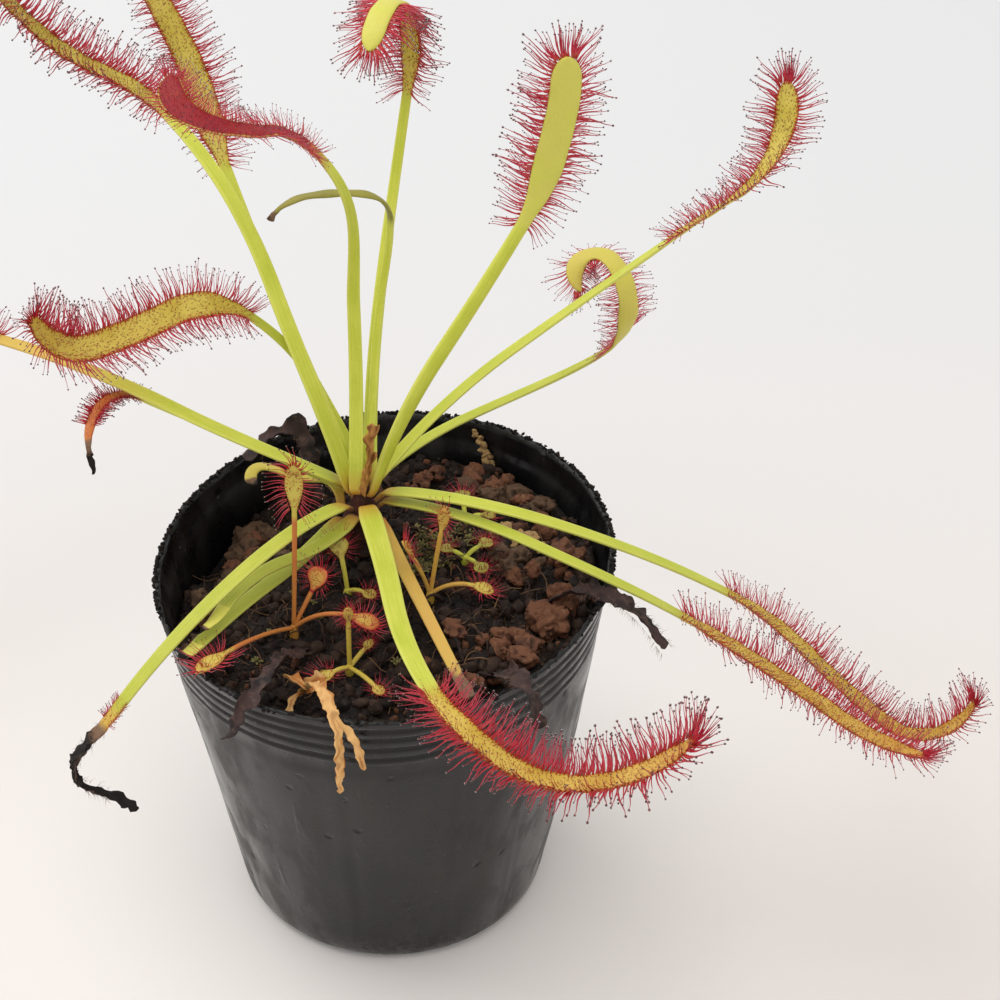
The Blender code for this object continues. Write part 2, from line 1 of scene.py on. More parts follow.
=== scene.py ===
"""Potted cape sundew: the finished look of the plant, its peat and its film pot.

Metres, +Z up, the origin under the middle of the pot, the front towards -Y. Shapes are worked out in
millimetres and turned into metres when a mesh is made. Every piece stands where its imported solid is.
"""
import logging
import math
import random
from collections.abc import Sequence
from dataclasses import dataclass
from enum import Enum
from typing import NamedTuple

import bmesh
import bpy
import numpy as np
from mathutils import Matrix, Vector, noise


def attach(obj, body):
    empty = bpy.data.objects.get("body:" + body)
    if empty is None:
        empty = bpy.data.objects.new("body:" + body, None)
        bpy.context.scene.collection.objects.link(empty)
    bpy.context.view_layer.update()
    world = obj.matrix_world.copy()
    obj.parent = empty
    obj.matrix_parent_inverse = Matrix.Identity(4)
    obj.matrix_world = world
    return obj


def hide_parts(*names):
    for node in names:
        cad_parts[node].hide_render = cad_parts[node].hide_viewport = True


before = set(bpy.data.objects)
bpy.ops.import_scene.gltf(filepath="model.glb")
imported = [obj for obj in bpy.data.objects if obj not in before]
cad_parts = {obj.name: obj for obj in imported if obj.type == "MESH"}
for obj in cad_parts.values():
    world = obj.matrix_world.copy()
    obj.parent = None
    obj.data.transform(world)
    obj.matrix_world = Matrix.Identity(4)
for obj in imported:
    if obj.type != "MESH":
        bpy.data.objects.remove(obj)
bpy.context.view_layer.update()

LOG = logging.getLogger("sundew")
MM = 0.001
TAU = math.tau
CRUMPLE_SEED = 19


# Node trees, written as Python expressions.

class Wire:
    """A value in a node tree, so that sums on it read as Python."""

    def __init__(self, bench: "Bench", socket: bpy.types.NodeSocket) -> None:
        """Hold one output socket and the bench it belongs to."""
        self.bench = bench
        self.socket = socket

    def __add__(self, other: "Wire | float") -> "Wire":
        """The sum with a number or another wire."""
        return self.bench.maths("ADD", self, other)

    __radd__ = __add__

    def __sub__(self, other: "Wire | float") -> "Wire":
        """This value less another."""
        return self.bench.maths("SUBTRACT", self, other)

    def __rsub__(self, other: "Wire | float") -> "Wire":
        """A number less this value."""
        return self.bench.maths("SUBTRACT", other, self)

    def __mul__(self, other: "Wire | float") -> "Wire":
        """The product with a number or another wire."""
        return self.bench.maths("MULTIPLY", self, other)

    __rmul__ = __mul__

    def __abs__(self) -> "Wire":
        """This value without its sign."""
        return self.bench.maths("ABSOLUTE", self, 0.0)

    def ease(self, low: float, high: float) -> "Wire":
        """A smooth step.

        Args:
            low: where the step starts.
            high: where it is done.

        Returns:
            A wire from 0 at low to 1 at high.
        """
        settings = {"interpolation_type": "SMOOTHSTEP"}
        return self.bench.out("ShaderNodeMapRange", settings, {0: self, 1: low, 2: high})


class Bench:
    """Makes and links the nodes of one tree."""

    FIRST_COLOUR, SECOND_COLOUR, MIXED_COLOUR = 6, 7, 2

    def __init__(self, tree: bpy.types.NodeTree) -> None:
        """Work on this tree."""
        self.tree = tree

    def node(self, kind: str, settings: dict | None = None, sockets: dict | None = None) -> bpy.types.Node:
        """Make one node.

        Args:
            kind: the node's type.
            settings: its own settings, set first; "stops" are a ramp's places and colours.
            sockets: values or wires, by the input's name or number.

        Returns:
            The node.
        """
        made = self.tree.nodes.new(kind)
        for name, value in (settings or {}).items():
            if name == "stops":
                while len(made.color_ramp.elements) < len(value):
                    made.color_ramp.elements.new(1.0)
                for stop, (place, colour) in zip(made.color_ramp.elements, value):
                    stop.position = place
                    stop.color = (*colour, 1.0)
            else:
                setattr(made, name, value)
        for name, value in (sockets or {}).items():
            if isinstance(value, Wire):
                self.tree.links.new(value.socket, made.inputs[name])
            else:
                made.inputs[name].default_value = value
        return made

    def out(self, kind: str, settings: dict | None = None, sockets: dict | None = None,
            output: int | str = 0) -> Wire:
        """Make one node.

        Args:
            kind: the node's type.
            settings: its own settings.
            sockets: values or wires for its inputs.
            output: the output that is wanted.

        Returns:
            That output as a wire.
        """
        return Wire(self, self.node(kind, settings, sockets).outputs[output])

    def maths(self, operation: str, first: "Wire | float", second: "Wire | float") -> Wire:
        """One Math node on two values."""
        return self.out("ShaderNodeMath", {"operation": operation}, {0: first, 1: second})

    def mix(self, share: "Wire | float", first: "Wire | tuple", second: "Wire | tuple") -> Wire:
        """A colour between two.

        Args:
            share: 0 for the first colour, 1 for the second.
            first: a wire, or three numbers.
            second: a wire, or three numbers.

        Returns:
            The mixed colour.
        """
        first, second = (item if isinstance(item, Wire) else (*item, 1.0) for item in (first, second))
        sockets = {0: share, self.FIRST_COLOUR: first, self.SECOND_COLOUR: second}
        return self.out("ShaderNodeMix", {"data_type": "RGBA"}, sockets, self.MIXED_COLOUR)

    def noise(self, where: Wire, scale: float, detail: float = 2.0, stretch: tuple = (1.0, 1.0, 1.0)) -> Wire:
        """Cloudy noise.

        Args:
            where: the point it is read at.
            scale: how fine it is.
            detail: how many finer layers it has.
            stretch: how much finer it is along each axis.

        Returns:
            A wire around 0.5.
        """
        if stretch != (1.0, 1.0, 1.0):
            where = self.out("ShaderNodeMapping", None, {"Vector": where, "Scale": stretch})
        return self.out("ShaderNodeTexNoise", None, {"Vector": where, "Scale": scale, "Detail": detail})

    def cells(self, where: Wire, scale: float) -> Wire:
        """The distance to the nearest of many scattered points."""
        return self.out("ShaderNodeTexVoronoi", None, {"Vector": where, "Scale": scale}, "Distance")

    def place(self) -> Wire:
        """The point on the surface, in the object's own metres."""
        return self.out("ShaderNodeTexCoord", None, None, "Object")

    def value(self, name: str, output: str = "Fac") -> Wire:
        """A value that the mesh stores at each point."""
        return self.out("ShaderNodeAttribute", {"attribute_name": name}, None, output)

    def split(self, vector: Wire) -> list[Wire]:
        """The three parts of a vector."""
        made = self.node("ShaderNodeSeparateXYZ", None, {0: vector})
        return [Wire(self, made.outputs[part]) for part in range(3)]

    def bump(self, height: Wire, strength: float, depth: float) -> Wire:
        """A bumped normal from a height between 0 and 1, depth in metres."""
        return self.out("ShaderNodeBump", None, {"Height": height, "Strength": strength, "Distance": depth})


# Finishes.

Colour = tuple[float, float, float]


@dataclass(frozen=True)
class Finish:
    """A finish that makes its material once."""

    name: str

    def material(self) -> bpy.types.Material:
        """The material, made when it is first asked for."""
        found = bpy.data.materials.get(self.name)
        if found:
            return found
        made = bpy.data.materials.new(self.name)
        made.use_nodes = True
        bench = Bench(made.node_tree)
        shader = made.node_tree.nodes["Principled BSDF"]
        self.dress(bench, shader)
        return made

    def dress(self, bench: Bench, shader: bpy.types.Node) -> None:
        """Give the shader its values.

        Args:
            bench: the bench of the material's tree.
            shader: its Principled shader.
        """
        raise NotImplementedError

    @staticmethod
    def feed(bench: Bench, shader: bpy.types.Node, **sockets: "Wire | float | tuple") -> None:
        """Link wires to the shader, or set its plain values.

        Args:
            bench: the bench of the shader's tree.
            shader: the Principled shader.
            sockets: wires, numbers or colours, by the socket's name with _ for a space.
        """
        for name, value in sockets.items():
            socket = shader.inputs[name.replace("_", " ")]
            if isinstance(value, Wire):
                bench.tree.links.new(value.socket, socket)
            else:
                socket.default_value = value


@dataclass(frozen=True)
class LeafFinish(Finish):
    """Fresh sundew leaf: lime stalk, banded blade, the colours of age, flush and death, and painted shade on
    low stalks.
    """

    stalk: Colour = (0.64, 0.66, 0.085)
    stalk_deep: Colour = (0.50, 0.56, 0.042)
    stalk_edge: Colour = (0.74, 0.74, 0.16)
    # painted shade: the darker stalk colour of low leaves
    stalk_shaded: Colour = (0.25, 0.27, 0.035)
    face: Colour = (0.68, 0.565, 0.095)
    face_deep: Colour = (0.56, 0.455, 0.045)
    face_dark: Colour = (0.20, 0.050, 0.014)
    face_rim: Colour = (0.60, 0.10, 0.035)
    back: Colour = (0.66, 0.62, 0.11)
    olive: Colour = (0.17, 0.175, 0.032)
    yellowed: Colour = (0.70, 0.40, 0.09)
    flushed: Colour = (0.56, 0.045, 0.026)
    crimson: Colour = (0.28, 0.004, 0.011)
    crimson_marks: Colour = (0.07, 0.003, 0.006)
    dry: Colour = (0.20, 0.115, 0.068)
    charred: Colour = (0.012, 0.008, 0.007)

    def dress(self, bench: Bench, shader: bpy.types.Node) -> None:
        """Mix the leaf's colours from the values stored on its mesh."""
        where = bench.place()
        skin = bench.value("skin", "Vector")
        shade = bench.split(skin)[2]
        upper, share, across = bench.split(bench.value("place", "Vector"))
        dead, flush, old = bench.split(bench.value("health", "Vector"))
        side = abs(across)
        cloud = bench.noise(where, 140.0, 3.0)
        fibre = bench.noise(skin, 1.0, 2.0, (3.2, 0.12, 1.0))
        grain = bench.noise(skin, 2.4, 2.0)
        stalk = bench.mix((cloud + fibre - 0.55).ease(0.1, 0.85), self.stalk_deep, self.stalk)
        stalk = bench.mix(side.ease(0.55, 1.0) * 0.6, stalk, self.stalk_edge)
        # painted shade: the stalks of leaves whose shade is below 0 are darkened towards stalk_shaded
        stalk = bench.mix(shade * -1.0, stalk, self.stalk_shaded)
        long = bench.out("ShaderNodeMapping", None, {"Vector": skin, "Scale": (1.0, 0.75, 1.0)})
        pits = bench.cells(long, 1.9)
        marks = (1.0 - pits.ease(0.14, 0.50)) * grain.ease(0.36, 0.50)
        face = bench.mix(cloud.ease(0.35, 0.7), self.face, self.face_deep)
        face = bench.mix(marks * 0.8, face, self.face_dark)
        face = bench.mix(side.ease(0.74, 1.0) * 0.5, face, self.face_rim)
        back = bench.mix(cloud.ease(0.4, 0.7) * 0.5, self.back, self.stalk)
        blade = bench.mix(upper.ease(0.35, 0.6), back, face)
        blade = bench.mix(shade * (0.6 + cloud * 0.5), blade, self.olive)
        colour = bench.mix(share.ease(-0.03, 0.05), stalk, blade)
        colour = bench.mix(old * (cloud * 0.5 + 0.75), colour, self.yellowed)
        colour = bench.mix(flush * (cloud * 0.6 + 0.7), colour, self.flushed)
        deep = flush.ease(0.8, 0.95)
        colour = bench.mix(deep * (cloud * 0.8 + 0.55), colour, self.crimson)
        colour = bench.mix(deep * marks * upper * 0.7, colour, self.crimson_marks)
        colour = bench.mix(deep * upper * side.ease(0.80, 0.94) * 0.8, colour, self.back)
        rot = (dead * 1.25 + (cloud - 0.5) * 0.9).ease(0.18, 0.5)
        char = (dead * 1.2 + (grain - 0.5) * 0.8).ease(0.55, 1.0)
        colour = bench.mix(rot, colour, self.dry)
        colour = bench.mix(char, colour, self.charred)
        height = fibre * (1.0 - rot) + grain * (rot * 2.0) - marks * 0.6
        self.feed(
            bench, shader, Base_Color=colour, Roughness=0.46 + rot * 0.35,
            Normal=bench.bump(height, 0.5, 0.00012), Specular_IOR_Level=0.32,
        )


@dataclass(frozen=True)
class TentacleFinish(Finish):
    """Tentacle stalks from pale root to crimson, and their dark wet heads."""

    root: Colour = (0.58, 0.07, 0.04)
    low: Colour = (0.60, 0.012, 0.045)
    high: Colour = (0.36, 0.008, 0.035)
    head: Colour = (0.07, 0.003, 0.010)
    bright: Colour = (0.66, 0.09, 0.07)

    def dress(self, bench: Bench, shader: bpy.types.Node) -> None:
        """Colour by the place along the tentacle, with slow changes from one to the next."""
        tone = bench.value("tone")
        cloud = bench.noise(bench.place(), 420.0, 1.0)
        stops = ((0.0, self.root), (0.18, self.low), (0.80, self.high), (0.90, self.head), (1.0, self.head))
        colour = bench.out("ShaderNodeValToRGB", {"stops": stops}, {0: tone})
        colour = bench.mix(cloud.ease(0.48, 0.75) * 0.4, colour, self.bright)
        self.feed(bench, shader, Base_Color=colour, Roughness=0.28, Coat_Weight=0.35, Coat_Roughness=0.05)


@dataclass(frozen=True)
class DropFinish(Finish):
    """The clear slime round each head."""

    blush: Colour = (1.0, 0.93, 0.93)

    def dress(self, bench: Bench, shader: bpy.types.Node) -> None:
        """Clear and wet, with a faint blush."""
        self.feed(bench, shader, Base_Color=(*self.blush, 1.0), Roughness=0.02, IOR=1.34,
                  Transmission_Weight=1.0)


@dataclass(frozen=True)
class FilmFinish(Finish):
    """Thin black nursery film, satin, dusty and creased."""

    film: Colour = (0.0055, 0.0055, 0.0062)
    worn: Colour = (0.011, 0.0105, 0.0115)
    dust: Colour = (0.10, 0.082, 0.066)
    # painted shade for the small dents
    dent_painted_shade: Colour = (0.003, 0.003, 0.0035)

    def dress(self, bench: Bench, shader: bpy.types.Node) -> None:
        """Worn patches, upright creases, small dents with painted shade, water marks and specks of peat."""
        where = bench.place()
        cloud = bench.noise(where, 38.0, 4.0)
        crease = bench.noise(where, 70.0, 3.0, (1.0, 1.0, 0.10))
        lines = bench.noise(where, 230.0, 2.0, (1.0, 1.0, 0.05)).ease(0.60, 0.70) * cloud.ease(0.45, 0.6)
        fine = bench.noise(where, 900.0, 3.0)
        marks = bench.noise(where, 150.0, 6.0, (1.0, 1.0, 0.5))
        dents = (1.0 - bench.cells(where, 130.0).ease(0.05, 0.17)) * marks.ease(0.46, 0.54)
        speck = (1.0 - bench.cells(where, 420.0).ease(0.05, 0.16)) * marks.ease(0.52, 0.62)
        low = bench.split(where)[2].ease(0.010, 0.0)
        colour = bench.mix(cloud.ease(0.35, 0.75), self.film, self.worn)
        colour = bench.mix(marks.ease(0.44, 0.76) * cloud.ease(0.3, 0.6) * 0.22, colour, self.dust)
        colour = bench.mix(speck * 0.6 + low * fine.ease(0.45, 0.6) * 0.4, colour, self.dust)
        # painted shade: the small dents are painted darker than the film
        colour = bench.mix(dents * 0.8, colour, self.dent_painted_shade)
        height = crease * 0.75 + lines * 0.3 + fine * 0.06 + speck * 0.3 - dents * 0.9
        self.feed(
            bench, shader, Base_Color=colour, Roughness=0.20 + marks.ease(0.4, 0.65) * 0.26 + speck * 0.3,
            Normal=bench.bump(height, 0.6, 0.0006), Specular_IOR_Level=0.34,
        )


@dataclass(frozen=True)
class GroundFinish(Finish):
    """Crumbly matter: peat, clay granules, bark or dry leaf, by its colours and grain."""

    dark: Colour
    light: Colour
    fleck: Colour
    grain: float = 900.0
    depth: float = 0.0006
    gloss: float = 0.85
    flecks: float = 0.35

    def dress(self, bench: Bench, shader: bpy.types.Node) -> None:
        """Two tones by cloud and tint, with flecks and a rough bump."""
        where = bench.place()
        tint = bench.value("tint")
        cloud = bench.noise(where, self.grain * 0.25, 4.0)
        fine = bench.noise(where, self.grain, 5.0)
        colour = bench.mix((cloud * 1.1 + tint * 0.7 - 0.42).ease(0.05, 0.75), self.dark, self.light)
        colour = bench.mix(fine.ease(0.52, 0.70) * self.flecks, colour, self.fleck)
        self.feed(
            bench, shader, Base_Color=colour, Roughness=self.gloss - 0.15 * fine,
            Normal=bench.bump(fine * 0.6 + cloud * 0.4, 0.9, self.depth), Specular_IOR_Level=0.3,
        )


@dataclass(frozen=True)
class FloorFinish(Finish):
    """The pale floor of the studio."""

    # painted light: the floor is painted paler round the pot, which lifts the pot's shadow
    close: Colour = (0.93, 0.885, 0.85)
    near: Colour = (0.775, 0.725, 0.69)
    far: Colour = (0.705, 0.71, 0.715)

    def dress(self, bench: Bench, shader: bpy.types.Node) -> None:
        """Warmer in front, cooler behind, and painted light that makes it palest round the pot."""
        width, depth, _ = bench.split(bench.place())
        away = (width * width + depth * depth).ease(0.0016, 0.0150)
        # painted light: paler close to the pot
        front = bench.mix(away, self.close, self.near)
        colour = bench.mix(depth.ease(-0.05, 0.30), front, self.far)
        self.feed(bench, shader, Base_Color=colour, Roughness=0.75)


LEAF = LeafFinish("fresh_leaf")
TENTACLE = TentacleFinish("tentacle")
DROP = DropFinish("slime_drop")
FILM = FilmFinish("nursery_film")
PEAT = GroundFinish("dark_peat", (0.0045, 0.003, 0.0025), (0.022, 0.012, 0.008), (0.055, 0.03, 0.018), 1100.0)
LUMP = GroundFinish(
    "peat_lump", (0.006, 0.0035, 0.003), (0.036, 0.018, 0.011), (0.085, 0.05, 0.03), 900.0, 0.0007)
CLAY = GroundFinish(
    "clay_granule", (0.022, 0.008, 0.005), (0.145, 0.055, 0.026), (0.26, 0.14, 0.07), 900.0, 0.0009)
BARK = GroundFinish(
    "stem_bark_look", (0.014, 0.006, 0.005), (0.065, 0.020, 0.012), (0.14, 0.06, 0.025), 800.0)
DRY = GroundFinish(
    "dry_leaf", (0.42, 0.15, 0.030), (0.76, 0.45, 0.17), (0.20, 0.07, 0.02), 480.0, 0.0005, 0.75)
BLACK = GroundFinish(
    "black_leaf", (0.012, 0.007, 0.007), (0.055, 0.028, 0.024), (0.14, 0.08, 0.055), 700.0, 0.0006, 0.7)
STRAND = GroundFinish("dark_strand", (0.008, 0.005, 0.005), (0.050, 0.026, 0.020), (0.10, 0.07, 0.045), 900.0)
ROOT = GroundFinish("root_fibre", (0.06, 0.03, 0.014), (0.22, 0.12, 0.055), (0.30, 0.19, 0.10), 900.0)
HAIR = GroundFinish("dried_hair", (0.05, 0.022, 0.016), (0.30, 0.20, 0.15), (0.42, 0.34, 0.28), 600.0)
CRUST = GroundFinish("tan_crust", (0.11, 0.055, 0.022), (0.40, 0.25, 0.10), (0.56, 0.40, 0.18), 700.0, 0.0009)
WITHER = GroundFinish(
    "withered_bud", (0.20, 0.065, 0.016), (0.50, 0.24, 0.055), (0.10, 0.035, 0.012), 420.0, 0.0005, 0.6)
EARTH = GroundFinish(
    "brown_mass", (0.012, 0.006, 0.004), (0.095, 0.052, 0.028), (0.20, 0.125, 0.07), 800.0, 0.0009)
MOSS = GroundFinish("moss", (0.030, 0.026, 0.010), (0.23, 0.20, 0.065), (0.34, 0.22, 0.09), 900.0)


# Meshes.

class Skin:
    """Gathers bodies, in millimetres, and the values that their finish reads at each point."""

    def __init__(self) -> None:
        """Start empty."""
        self.points: list[np.ndarray] = []
        self.faces: list[tuple[int, ...]] = []
        self.values: dict[str, list[np.ndarray]] = {}
        self.count = 0

    def add(self, points: np.ndarray, faces: Sequence[Sequence[int]], **values: np.ndarray) -> None:
        """Add one body.

        Args:
            points: its corners, in millimetres.
            faces: corner numbers, from 0.
            values: one number or one vector for each corner, by name.
        """
        self.faces += [tuple(corner + self.count for corner in face) for face in faces]
        self.points.append(points)
        for name, value in values.items():
            self.values.setdefault(name, []).append(value)
        self.count += len(points)

    def loft(self, rings: np.ndarray, **values: np.ndarray) -> None:
        """Add a run of closed rings, capped at both ends.

        Args:
            rings: sections by corners by 3, in millimetres.
            values: arrays of sections by corners, or sections by corners by 3.
        """
        rows, sides = rings.shape[:2]
        faces: list[tuple[int, ...]] = []
        for low in range(rows - 1):
            for side in range(sides):
                after = (side + 1) % sides
                first = low * sides
                faces.append((first + side, first + after, first + sides + after, first + sides + side))
        faces.append(tuple(reversed(range(sides))))
        faces.append(tuple(range((rows - 1) * sides, rows * sides)))
        flat = {name: value.reshape(rows * sides, *value.shape[2:]) for name, value in values.items()}
        self.add(rings.reshape(-1, 3), faces, **flat)

    def mesh(self, name: str) -> bpy.types.Mesh:
        """Make the smooth mesh, in metres, with its faces pointing outwards.

        Args:
            name: the mesh's name.

        Returns:
            The mesh, with the values at its points.
        """
        made = bpy.data.meshes.new(name)
        made.from_pydata((np.concatenate(self.points) * MM).tolist(), [], self.faces)
        solid = bmesh.new()
        solid.from_mesh(made)
        bmesh.ops.recalc_face_normals(solid, faces=solid.faces)
        solid.to_mesh(made)
        solid.free()
        for label, parts in self.values.items():
            value = np.concatenate(parts).astype(np.float32)
            kind, key = ("FLOAT", "value") if value.ndim == 1 else ("FLOAT_VECTOR", "vector")
            made.attributes.new(label, kind, "POINT").data.foreach_set(key, value.ravel())
        made.polygons.foreach_set("use_smooth", [True] * len(made.polygons))
        return made

    def piece(self, name: str, finish: Finish) -> bpy.types.Object:
        """Make the object, with its finish, in the scene."""
        made = stand(name, self.mesh(name))
        made.data.materials.append(finish.material())
        return made


def stand(name: str, data: bpy.types.ID) -> bpy.types.Object:
    """Put a new object that shows this data into the scene."""
    made = bpy.data.objects.new(name, data)
    bpy.context.scene.collection.objects.link(made)
    return made


def flatten(holder: bpy.types.Object) -> bpy.types.Mesh:
    """A plain mesh of an object, with its modifiers worked out."""
    sight = bpy.context.evaluated_depsgraph_get()
    return bpy.data.meshes.new_from_object(
        holder.evaluated_get(sight), preserve_all_data_layers=True, depsgraph=sight)


def settle(piece: bpy.types.Object, slot: str, *nodes: str) -> None:
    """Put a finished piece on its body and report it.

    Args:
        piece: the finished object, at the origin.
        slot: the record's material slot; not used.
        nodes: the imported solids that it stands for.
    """
    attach(piece, "root")
    if nodes:
        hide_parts(*nodes)
    piece.data.calc_loop_triangles()
    LOG.info("%s: %d triangles", piece.name, len(piece.data.loop_triangles))


def heading(turn: np.ndarray, rise: np.ndarray) -> np.ndarray:
    """Unit vectors from headings and slopes in degrees."""
    turn, rise = np.radians(turn), np.radians(rise)
    return np.stack([np.cos(rise) * np.cos(turn), np.cos(rise) * np.sin(turn), np.sin(rise)], axis=-1)


def unit(vector: np.ndarray) -> np.ndarray:
    """The vector at length 1."""
    return vector / np.linalg.norm(vector, axis=-1, keepdims=True)


def smooth(share: np.ndarray) -> np.ndarray:
    """A share from 0 to 1, eased at both ends."""
    return share * share * (3.0 - 2.0 * share)


def around(corners: int) -> np.ndarray:
    """The angles of corners spread evenly round a section."""
    return np.arange(corners) * TAU / corners


def fuller(wave: np.ndarray, power: float) -> np.ndarray:
    """A wave with fuller or thinner crests and its own sign."""
    return np.sign(wave) * np.abs(wave) ** power


def sections(points: np.ndarray, across: np.ndarray, upper: np.ndarray, wide: np.ndarray,
             tall: np.ndarray) -> np.ndarray:
    """Closed sections along a curve.

    Args:
        points: the curve's points.
        across: the unit vectors across the leaf there.
        upper: the unit vectors up from its face.
        wide: how far each corner stands across, sections by corners.
        tall: how far it stands up.

    Returns:
        Sections by corners by 3.
    """
    return points[:, None, :] + across[:, None, :] * wide[:, :, None] + upper[:, None, :] * tall[:, :, None]


def spread(shape: tuple, *parts: np.ndarray | float) -> np.ndarray:
    """The parts, each spread to the shape, as the last axis of one array."""
    return np.stack([np.broadcast_to(part, shape) for part in parts], axis=-1)


def any_way(draw: random.Random) -> tuple[float, float, float]:
    """A random direction, of any length."""
    return draw.gauss(0, 1), draw.gauss(0, 1), draw.gauss(0, 1)


class Rib:
    """A midrib: a curve walked from its start along headings and slopes that change by length."""

    STEP = 0.25
    FEWEST_STEPS = 8

    def __init__(self, start: Sequence[float], marks: Sequence[float], turns: Sequence[float],
                 rises: Sequence[float], twists: Sequence[float] = ()) -> None:
        """Walk the curve.

        Args:
            start: the first point, in millimetres.
            marks: the lengths at which the directions are given.
            turns: the headings there, in degrees.
            rises: the slopes there, in degrees.
            twists: how far the leaf is turned about its midrib there, in degrees.
        """
        self.marks, self.turns, self.rises = marks, turns, rises
        self.twists = twists or (0.0,) * len(marks)
        self.length = marks[-1]
        count = max(self.FEWEST_STEPS, int(self.length / self.STEP))
        self.grid = np.linspace(0.0, self.length, count + 1)
        middle = (self.grid[1:] + self.grid[:-1]) / 2.0
        steps = self._way(middle) * (self.grid[1] - self.grid[0])
        self.walk = np.vstack([np.zeros(3), np.cumsum(steps, axis=0)]) + np.array(start, float)

    def _way(self, stops: np.ndarray) -> np.ndarray:
        """The direction at each length."""
        return heading(np.interp(stops, self.marks, self.turns), np.interp(stops, self.marks, self.rises))

    def frames(self, stops: np.ndarray) -> tuple[np.ndarray, np.ndarray, np.ndarray, np.ndarray]:
        """The curve's frames.

        Args:
            stops: lengths along the curve, in millimetres.

        Returns:
            The points, and the vectors along, across and up from the leaf's face.
        """
        points = np.stack([np.interp(stops, self.grid, self.walk[:, axis]) for axis in range(3)], axis=-1)
        along = self._way(stops)
        turn = np.radians(np.interp(stops, self.marks, self.turns))
        across = np.stack([-np.sin(turn), np.cos(turn), np.zeros_like(turn)], axis=-1)
        upper = np.cross(along, across)
        spin = np.radians(np.interp(stops, self.marks, self.twists))[:, None]
        across, upper = (across * np.cos(spin) + upper * np.sin(spin),
                         upper * np.cos(spin) - across * np.sin(spin))
        return points, along, across, upper

    def at(self, stop: float) -> list[np.ndarray]:
        """The frame at one length: the point, and the vectors along, across and up."""
        return [part[0] for part in self.frames(np.array([stop]))]


# Geometry Nodes.

class NodeTool:
    """A Geometry Nodes tree with named inputs, run on a mesh and turned into a plain mesh."""

    INPUTS: dict[str, str] = {}

    def __init__(self, name: str) -> None:
        """Make the tree."""
        self.tree = bpy.data.node_groups.new(name, "GeometryNodeTree")
        self.tree.interface.new_socket("Geometry", in_out="INPUT", socket_type="NodeSocketGeometry")
        for label, kind in self.INPUTS.items():
            self.tree.interface.new_socket(label, in_out="INPUT", socket_type=kind)
        self.tree.interface.new_socket("Geometry", in_out="OUTPUT", socket_type="NodeSocketGeometry")
        self.bench = Bench(self.tree)
        self.entry = self.bench.node("NodeGroupInput")
        self.bench.node("NodeGroupOutput", None, {0: self.build()})

    def given(self, label: str) -> Wire:
        """A named input of the tree."""
        return Wire(self.bench, self.entry.outputs[label])

    def named(self, label: str, kind: str) -> Wire:
        """A value that the points carry."""
        return self.bench.out(
            "GeometryNodeInputNamedAttribute", {"data_type": kind}, {"Name": label}, "Attribute")

    def placed(self, points: Wire, pick: Wire, aim: Wire, size: Wire) -> Wire:
        """Put a shape from the box on every point.

        Args:
            points: the points.
            pick: the number of each point's shape.
            aim: the angles that it is turned by.
            size: its size.

        Returns:
            The instances.
        """
        shapes = self.bench.out("GeometryNodeCollectionInfo", None, {
            "Collection": self.given("Shapes"), "Separate Children": True, "Reset Children": True,
        })
        return self.bench.out("GeometryNodeInstanceOnPoints", None, {
            "Points": points, "Instance": shapes, "Pick Instance": True, "Instance Index": pick,
            "Rotation": self.bench.out("FunctionNodeEulerToRotation", None, {0: aim}), "Scale": size,
        })

    def finished(self, things: Wire) -> Wire:
        """Make the instances real, and give them their one or two finishes."""
        real = self.bench.out("GeometryNodeRealizeInstances", None, {0: things})
        dressed = self.bench.out("GeometryNodeSetMaterial", None, {
            "Geometry": real, "Material": self.given("Finish"),
        })
        return self.bench.out("GeometryNodeSetMaterial", None, {
            "Geometry": dressed, "Selection": self.named("clear", "FLOAT"),
            "Material": self.given("Second finish"),
        })

    def build(self) -> Wire:
        """Make the nodes and return the last geometry."""
        raise NotImplementedError

    def run(self, name: str, host: bpy.types.Mesh, **values: object) -> bpy.types.Object:
        """Run the tree on a mesh.

        Args:
            name: the new piece's name.
            host: the mesh that the tree starts from.
            values: the tree's inputs, by name with _ for a space.

        Returns:
            A plain mesh object at the origin.
        """
        holder = stand(name + "_host", host)
        modifier = holder.modifiers.new("tool", "NODES")
        modifier.node_group = self.tree
        for item in self.tree.interface.items_tree:
            key = item.name.replace(" ", "_")
            if item.in_out == "INPUT" and key in values:
                modifier[item.identifier] = values[key]
        plain = flatten(holder)
        plain.name = name
        bpy.data.objects.remove(holder, do_unlink=True)
        return stand(name, plain)


class Placing(NodeTool):
    """Puts shapes on given points, each with its own aim and size."""

    INPUTS = {
        "Shapes": "NodeSocketCollection", "Finish": "NodeSocketMaterial",
        "Second finish": "NodeSocketMaterial",
    }

    def build(self) -> Wire:
        """Place the shapes by what each point carries."""
        pick, aim = self.named("pick", "FLOAT"), self.named("aim", "FLOAT_VECTOR")
        return self.finished(self.placed(self.given("Geometry"), pick, aim, self.named("size", "FLOAT")))


